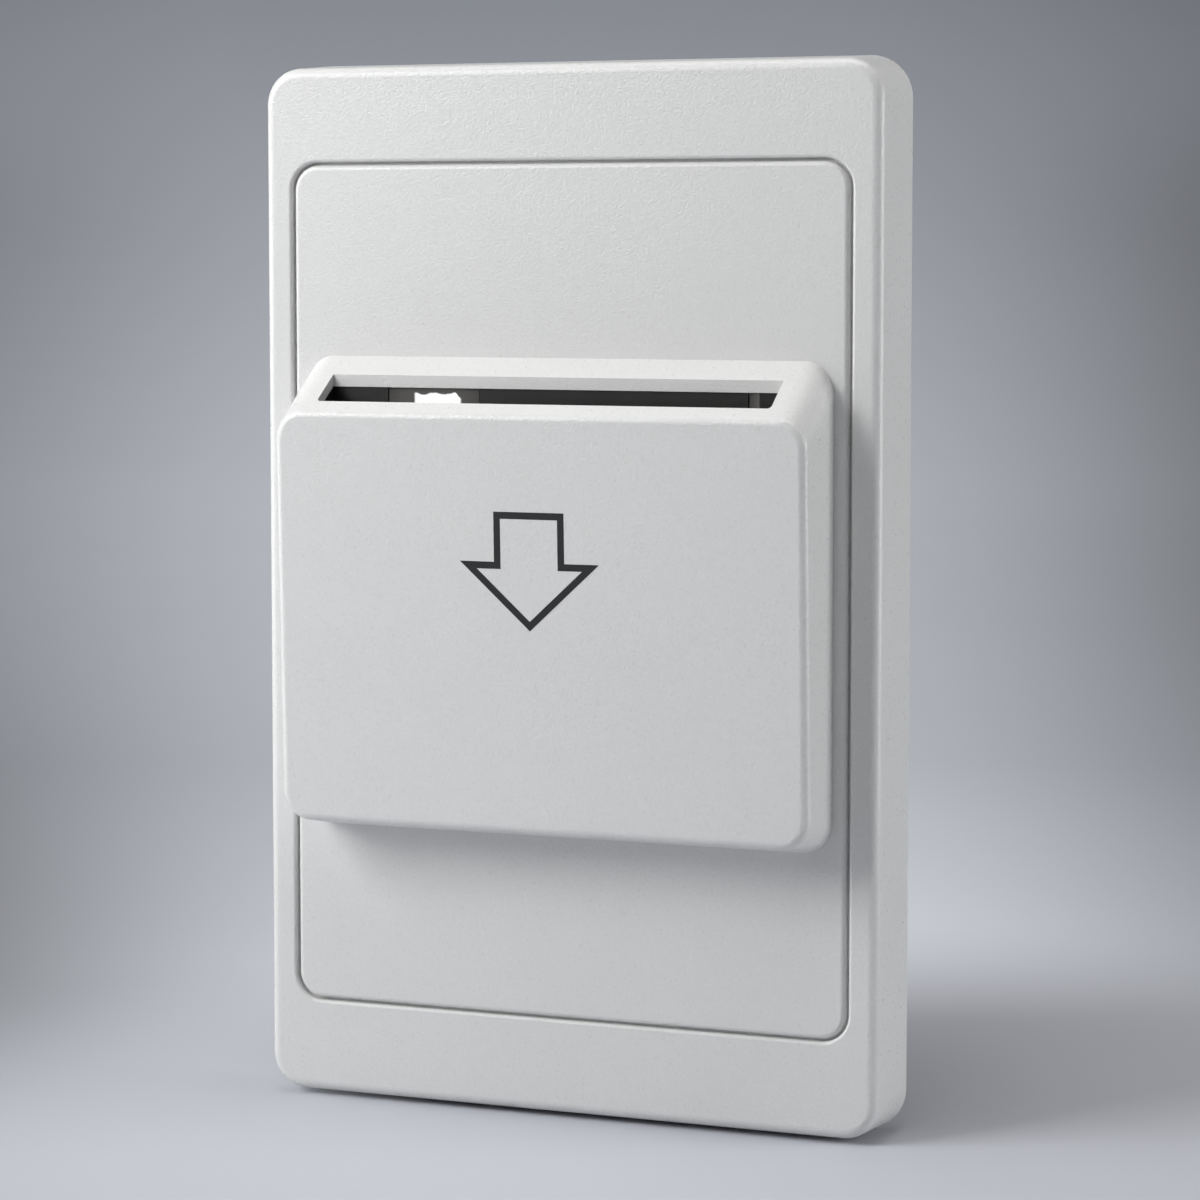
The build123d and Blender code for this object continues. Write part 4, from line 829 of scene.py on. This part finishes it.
class CARD_OT_terminal_screws(bpy.types.Operator):
    """Replace the terminal screws by slotted ones with a fine thread"""

    bl_idname = "card_switch.terminal_screws"
    bl_label = "Terminal screws"

    def execute(self, context):
        p = context.scene.card_fixings
        height, shank = 1.4 * MM, 1.5 * MM
        finish = finish_named("screw_zinc")
        for pole in (1, 2, 3, 4):
            node = f"terminal_screw_{pole}"
            low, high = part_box(node)
            head = (high[0] - low[0]) / 2
            rings = screw_rings(
                head, height, shank, high[1] - low[1] - height, p.machine_lead, 2,
                p.slot_width, p.slot_depth, 2 * head, 0.0,
            )
            seat = (middle_of(node)[0], high[1] - height, middle_of(node)[2])
            skin = closed_skin(standing(rings, seat, 1))
            body = f"screw_{pole}"
            make_piece(node + "_slotted", skin, body, finish, (node,), 32)
        return {"FINISHED"}


class CARD_OT_rivets(bpy.types.Operator):
    """Replace the clip rivets by ones with a domed head and a hollow end"""

    bl_idname = "card_switch.rivets"
    bl_label = "Clip rivets"

    def execute(self, context):
        head, rise, edge = 1.6, 0.6, 0.22
        places, front, back = corners_of("clip_rivets", head * MM)
        arc = np.linspace(0, math.pi / 2, 12)[1:]
        dome = line_of(head * np.sin(arc), edge + (rise - edge) * np.cos(arc))
        # radii and heights in millimetres, from under the head down the shank and up its hollow
        shank = [
            (head, 0.02), (1.56, 0.0), (1.0, 0.0), (1.0, -2.86),
            (0.96, -2.9), (0.62, -2.9), (0.58, -2.86), (0.5, -2.0),
        ]
        rings = turned(np.concatenate([dome, shank]) * MM, 40)
        skin = closed_skin(standing(rings, (0.0, front + rise * MM, 0.0), -1))
        skin = repeated(skin, [(x, 0.0, z) for x, z in places])
        zinc = finish_named("screw_zinc")
        make_piece("clip_rivets_domed", skin, "base", zinc, ("clip_rivets",), 35)
        return {"FINISHED"}


class CARD_OT_spring(bpy.types.Operator):
    """Wind the lever's spring from round wire: a leg under the arm, two turns round the pin and a
    hook at the ear"""

    bl_idname = "card_switch.spring"
    bl_label = "Lever spring"

    def execute(self, context):
        p = context.scene.card_fixings
        arm_angle, arm_thickness = math.radians(10.0), 1.9 * MM
        leg_length, hook_length = 5.0 * MM, 2.2 * MM
        near, rise_per_turn, turns = 2.0 * MM, 0.55 * MM, 2
        pin_to_plate, ear_radius, gap = 2.1 * MM, 1.8 * MM, 0.03 * MM
        lean = arm_angle + math.asin((p.coil - (arm_thickness + p.wire) / 2 - gap) / leg_length)
        start_turn = -math.pi / 2 - lean
        hook_y = pin_to_plate - p.wire / 2 - gap
        hook_reach = ear_radius + p.wire / 2 + gap
        hook_z = -math.sqrt(hook_reach**2 - hook_y**2)
        end_turn = math.atan2(hook_z, hook_y) - math.acos(p.coil / hook_reach)
        swept = turns * 2 * math.pi + end_turn - start_turn
        far = near + rise_per_turn * swept / (2 * math.pi)
        share = np.linspace(0, 1, 97)[:, None]
        turn = start_turn + swept * share
        along = near + (far - near) * share
        coil = np.concatenate([along, p.coil * np.cos(turn), p.coil * np.sin(turn)], 1)
        back_along = np.array([0, -math.cos(lean), math.sin(lean)])
        leg = np.linspace(1, 0, 14)[:-1, None] * leg_length * back_along + coil[0]
        run = np.array([0, -math.sin(end_turn), math.cos(end_turn)])
        tail_length = math.sqrt(hook_reach**2 - p.coil**2)
        tail = np.linspace(0, 1, 8)[1:, None] * tail_length * run + coil[-1]
        hook = tail[-1] + np.linspace(0, 1, 9)[1:, None] * np.array([hook_length, 0, 0])
        pivot = np.array([0, -p.pivot_depth, p.pivot_height])
        path = np.concatenate([leg, coil, tail, hook]) + pivot
        skin = closed_skin(wire_rings(path, p.wire / 2, np.cross(run, [1.0, 0.0, 0.0])))
        steel = finish_named("strip_steel")
        piece = make_piece("lever_spring_wire", skin, None, steel)
        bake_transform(piece)
        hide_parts("lever_spring")
        return {"FINISHED"}


class CARD_OT_lamp(bpy.types.Operator):
    """Replace the lamp by one with a domed lens, and the can by one with a curled sleeve"""

    bl_idname = "card_switch.lamp"
    bl_label = "Lamp and capacitor"

    def execute(self, context):
        self.lens()
        self.can()
        return {"FINISHED"}

    def lens(self):
        """Half a ball on a straight side, over a flange at the foot."""
        ball, side_top = 1.5, 2.7
        arc = np.linspace(0, math.pi / 2, 14)[1:]
        dome = line_of(ball * np.sin(arc), side_top + ball * np.cos(arc))
        # radii and heights in millimetres, from the side's foot over the flange and underneath
        flange = [
            (ball, 1.05), (1.56, 1.0), (1.82, 1.0), (1.9, 0.92),
            (1.9, 0.08), (1.82, 0.0), (0.5, 0.0),
        ]
        rings = turned(np.concatenate([dome, flange]) * MM, 40)
        across, _, up = middle_of("led_lamp")
        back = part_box("led_lamp")[1][1]
        skin = closed_skin(standing(rings, (across, back, up), -1))
        clear = finish_named("lamp_lens")
        make_piece("led_lamp_lens", skin, "base", clear, ("led_lamp",), 40)

    def can(self):
        """A can with a sunk end, a beaded sleeve edge, a rounded shoulder and a rolled waist."""
        low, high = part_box("electrolytic_capacitor")
        wide, tall = (high[0] - low[0]) / 2, high[1] - low[1]
        bead_width, bead_height, sunk = 0.1 * MM, 0.12 * MM, 0.3 * MM
        edge_drop, shoulder = 0.1 * MM, 0.4 * MM
        waist_depth, waist_height, waist_half = 0.34 * MM, 1.35 * MM, 0.35 * MM
        foot_bevel = 0.1 * MM
        half_turn, quarter_turn = np.linspace(0, math.pi, 9), np.linspace(0, math.pi / 2, 7)[1:]
        bead = line_of(
            wide * 0.78 - bead_width * np.cos(half_turn),
            tall - bead_height * (1 - np.sin(half_turn)),
        )
        edge = line_of(
            wide * (0.88 + 0.12 * np.sin(quarter_turn)),
            tall - edge_drop - shoulder * (1 - np.cos(quarter_turn)),
        )
        waist = line_of(
            wide - waist_depth * np.sin(half_turn),
            waist_height + waist_half * np.cos(half_turn),
        )
        end = [(wide * 0.3, tall - sunk), (wide * 0.7, tall - sunk)]
        foot = [(wide, foot_bevel), (wide - foot_bevel, 0.0), (wide * 0.4, 0.0)]
        rings = turned(np.concatenate([end, bead, edge, waist, foot]), 56)
        across, _, up = middle_of("electrolytic_capacitor")
        skin = closed_skin(standing(rings, (across, low[1], up), 1))
        sleeve, node = finish_named("can_sleeve"), "electrolytic_capacitor"
        make_piece("capacitor_can", skin, "base", sleeve, (node,), 40)


class CARD_OT_numerals(bpy.types.Operator):
    """Print the plain numbers 1 to 4 over the driver holes at the back"""

    bl_idname = "card_switch.numerals"
    bl_label = "Terminal numbers"

    def execute(self, context):
        size, line, proud, rise = 1.15 * MM, 0.13 * MM, 0.02 * MM, 2.9 * MM
        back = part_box("rear_housing")[1][1]
        skins = []
        for number, strokes in enumerate(NUMERALS, 1):
            x, _, z = middle_of(f"terminal_screw_{number}")
            for stroke in strokes:
                path = np.array(stroke) * size
                left, right = beside(path, -line, False), beside(path, line, False)
                ring = [(left, -proud), (left, proud), (right, proud), (right, -proud)]
                rows = []
                for side, level in ring:
                    depth = np.full(len(side), back + level)
                    rows.append(
                        np.stack([x + size / 2 - side[:, 0], depth, z + rise + side[:, 1]], -1)
                    )
                skins.append(outward(closed_skin(np.stack(rows, 1))))
        grey = grained_plastic("number_ink", tone(70, 72, 74), 0.3 * MM, 0.006 * MM, 0.45, 0.05)
        skin = joined(skins)
        make_piece("terminal_numbers", skin, "base", grey, crease=30)
        return {"FINISHED"}


class CARD_OT_stage(bpy.types.Operator):
    """Set the floor, backdrop, lamps and camera"""

    bl_idname = "card_switch.stage"
    bl_label = "Stage"

    def execute(self, context):
        p = context.scene.card_stage
        self.backdrop(p)
        # each lamp's turn round the switch and its elevation in degrees, its width and its power
        lamps = (
            ("key_lamp", -45, 29, 0.26, p.key_power),
            ("left_edge_lamp", -78, -4, 0.26, p.left_power),
            ("top_lamp", 30, 80, 0.26, p.top_power),
            ("upper_left_lamp", -90, 70, 0.26, p.side_power),
            ("right_edge_lamp", 101, 4, 0.20, p.right_power),
        )
        for name, azimuth, elevation, width, power in lamps:
            self.lamp(name, azimuth, elevation, width, power)
        world = bpy.data.worlds.new("even_light")
        world.use_nodes = True
        sky = world.node_tree.nodes["Background"]
        sky.inputs["Color"].default_value = (0.97, 0.985, 1.0, 1.0)
        sky.inputs["Strength"].default_value = p.sky
        context.scene.world = world
        lens = bpy.data.cameras.new("camera")
        lens.sensor_width, lens.lens, lens.shift_y = 36.0, p.lens, p.rise
        lens.clip_start, lens.clip_end = 0.01, 20.0
        camera = placed("camera", lens)
        camera.location = p.place
        camera.rotation_euler = (math.pi / 2 - p.dip, 0.0, p.turn)
        context.scene.camera = camera
        context.scene.view_settings.view_transform = "Standard"
        return {"FINISHED"}

    def backdrop(self, p):
        """A round floor that turns up into a wall: the profile is flat, then a quarter circle, then
        straight up."""
        sides, wall_height = 96, 2.5
        flat = np.linspace(0.0, p.floor_radius, 40)
        bend = p.wall_radius - p.floor_radius
        turn = np.linspace(0.0, math.pi / 2, 24)[1:]
        radius = np.concatenate([flat, p.floor_radius + bend * np.sin(turn), [p.wall_radius]])
        height = np.concatenate([flat * 0, bend * (1 - np.cos(turn)), [bend + wall_height]])
        radius, height = radius[1:, None], height[1:, None] - p.floor_drop
        around = np.arange(sides) * 2 * math.pi / sides
        rings = np.stack(
            [radius * np.cos(around), radius * np.sin(around), height + 0 * around], -1
        )
        here = np.arange(sides)
        middle = np.full(sides, len(rings) * sides)
        fan = np.stack([middle, here, (here + 1) % sides], -1)
        quads = grid_faces(len(rings), sides)[:, ::-1]
        points = rings.reshape(-1, 3).tolist() + [(0.0, 0.0, -p.floor_drop)]
        mesh = smooth_mesh("backdrop", points, quads.tolist() + fan.tolist(), self.paper(p))
        placed("backdrop", mesh)

    def paper(self, p):
        """Paper, plain close to the switch, where it is lit by the lamps so that it holds the
        shadow. Further out it shows a painted tone of painted light and shade: it runs with the
        height seen from the camera's place, bright low down as if lamp light pooled there, and
        darkens to the sides as painted shade. The wall lets the sky's light in."""
        ramp_start, ramp_length = 0.27, 0.34
        # painted light: grey levels of the painted tone, bright on the floor in front and darker
        # higher up
        shades = ((0.0, 204), (0.2, 206), (0.37, 181), (0.6, 180), (1.0, 138))
        shadow_middle, shadow_start, shadow_end = (0.035, 0.005), 0.05, 0.13
        f = Finish("backdrop_paper")
        across, back, up = f.split(f.place())
        # the direction from the photographer's place: how far ahead, to the side and up
        along, beyond = across - p.place[0], back - p.place[1]
        away = (along**2.0 + beyond**2.0) ** 0.5
        side = (along * math.cos(p.turn) + beyond * math.sin(p.turn)) / away
        level = (up - p.place[2]) / away
        stops = [(height, tone(shade - 3, shade, shade + 7)) for height, shade in shades]
        ramp = {0: (level + ramp_start) / ramp_length}
        painted = f.add("ShaderNodeValToRGB", {"stops": stops}, ramp)
        # painted shade: darker to both sides, and a tilt that darkens the right high up and the left
        # low down
        ahead = beyond * math.cos(p.turn) - along * math.sin(p.turn)
        fading = f.between(level, -0.262, -0.2) * (0.55 - 0.25 * f.between(level, 0.0, 0.06))
        fading = fading * f.between(ahead, 0.05, 0.35)
        leaning = (f.between(side, -0.3, 0.3) - 0.5) * (f.between(level, -0.2, -0.08) - 0.5)
        dim = 1 - f.between(abs(side), 0.06, 0.22) * fading - leaning * 0.5
        cloud = f.noise(f.place(), 0.12, 2.0, 0.5)
        shown = f.blend(dim * (cloud * 0.03 + 0.985), (0.0, 0.0, 0.0), painted)
        # where the shadow falls, and where the wall begins
        to_shadow = (across - shadow_middle[0]) ** 2.0 + (back - shadow_middle[1]) ** 2.0
        near = 1 - f.between(to_shadow**0.5, shadow_start, shadow_end)
        to_middle = (across**2.0 + back**2.0) ** 0.5
        wall = f.between(to_middle, p.floor_radius * 0.9, p.floor_radius)
        # the painted tone is for the rays that make the picture, and the paper for the others
        rays = f.add("ShaderNodeLightPath", {}, {}).socket.node.outputs
        seen = Value(f, rays["Is Camera Ray"]) + Value(f, rays["Is Glossy Ray"])
        seen = seen + Value(f, rays["Is Transmission Ray"])
        grey = f.blend(cloud, tone(194, 196, 203), tone(197, 199, 206))
        ground = f.add("ShaderNodeBsdfDiffuse", {}, {"Color": grey})
        open_air = f.add("ShaderNodeBsdfTransparent", {}, {})
        unseen = f.add("ShaderNodeMixShader", {}, {0: wall, 1: ground, 2: open_air})
        picture = f.add("ShaderNodeEmission", {}, {"Color": shown, "Strength": 1.0})
        share = seen.capped() * (1 - near)
        return f.shown(f.add("ShaderNodeMixShader", {}, {0: share, 1: unseen, 2: picture}))

    def lamp(self, name, azimuth, elevation, width, power):
        """A soft lamp that faces the switch from a direction, with azimuth 0 in front and 90 at the
        right."""
        distance, height = 0.45, 0.26
        light = bpy.data.lights.new(name, "AREA")
        light.shape, light.energy = "RECTANGLE", power
        light.size, light.size_y = width, height
        lamp = placed(name, light)
        turn, rise = math.radians(azimuth), math.radians(elevation)
        flat = math.cos(rise)
        way = np.array([math.sin(turn) * flat, -math.cos(turn) * flat, math.sin(rise)])
        lamp.location = way * distance
        lamp.rotation_euler = (math.pi / 2 - rise, 0.0, turn)
        lamp.visible_camera = False


class CARD_PT_panel(bpy.types.Panel):
    """Lists the steps that dress the switch"""

    bl_idname = "CARD_PT_panel"
    bl_label = "Key card switch"
    bl_space_type = "VIEW_3D"
    bl_region_type = "UI"
    bl_category = "Card switch"

    def draw(self, context):
        for step in STEPS:
            self.layout.operator(step.bl_idname)
        for name in GROUPS:
            group = getattr(context.scene, name)
            for key in type(group).__annotations__:
                self.layout.prop(group, key)


GROUPS = {
    "card_mouldings": CardSwitchMouldings,
    "card_arrow": CardSwitchArrow,
    "card_fixings": CardSwitchFixings,
    "card_stage": CardSwitchStage,
}
STEPS = (
    CARD_OT_finishes,
    CARD_OT_arrow,
    CARD_OT_screws,
    CARD_OT_terminal_screws,
    CARD_OT_rivets,
    CARD_OT_spring,
    CARD_OT_lamp,
    CARD_OT_numerals,
    CARD_OT_stage,
)


def register():
    for kind in (*GROUPS.values(), *STEPS, CARD_PT_panel):
        bpy.utils.register_class(kind)
    for name, kind in GROUPS.items():
        setattr(bpy.types.Scene, name, bpy.props.PointerProperty(type=kind))


def unregister():
    for name in GROUPS:
        delattr(bpy.types.Scene, name)
    for kind in (CARD_PT_panel, *reversed(STEPS), *reversed(list(GROUPS.values()))):
        bpy.utils.unregister_class(kind)


def main():
    """Registers the add-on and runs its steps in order."""
    register()
    for step in STEPS:
        group, name = step.bl_idname.split(".")
        getattr(getattr(bpy.ops, group), name)()


if __name__ == "__main__":
    main()
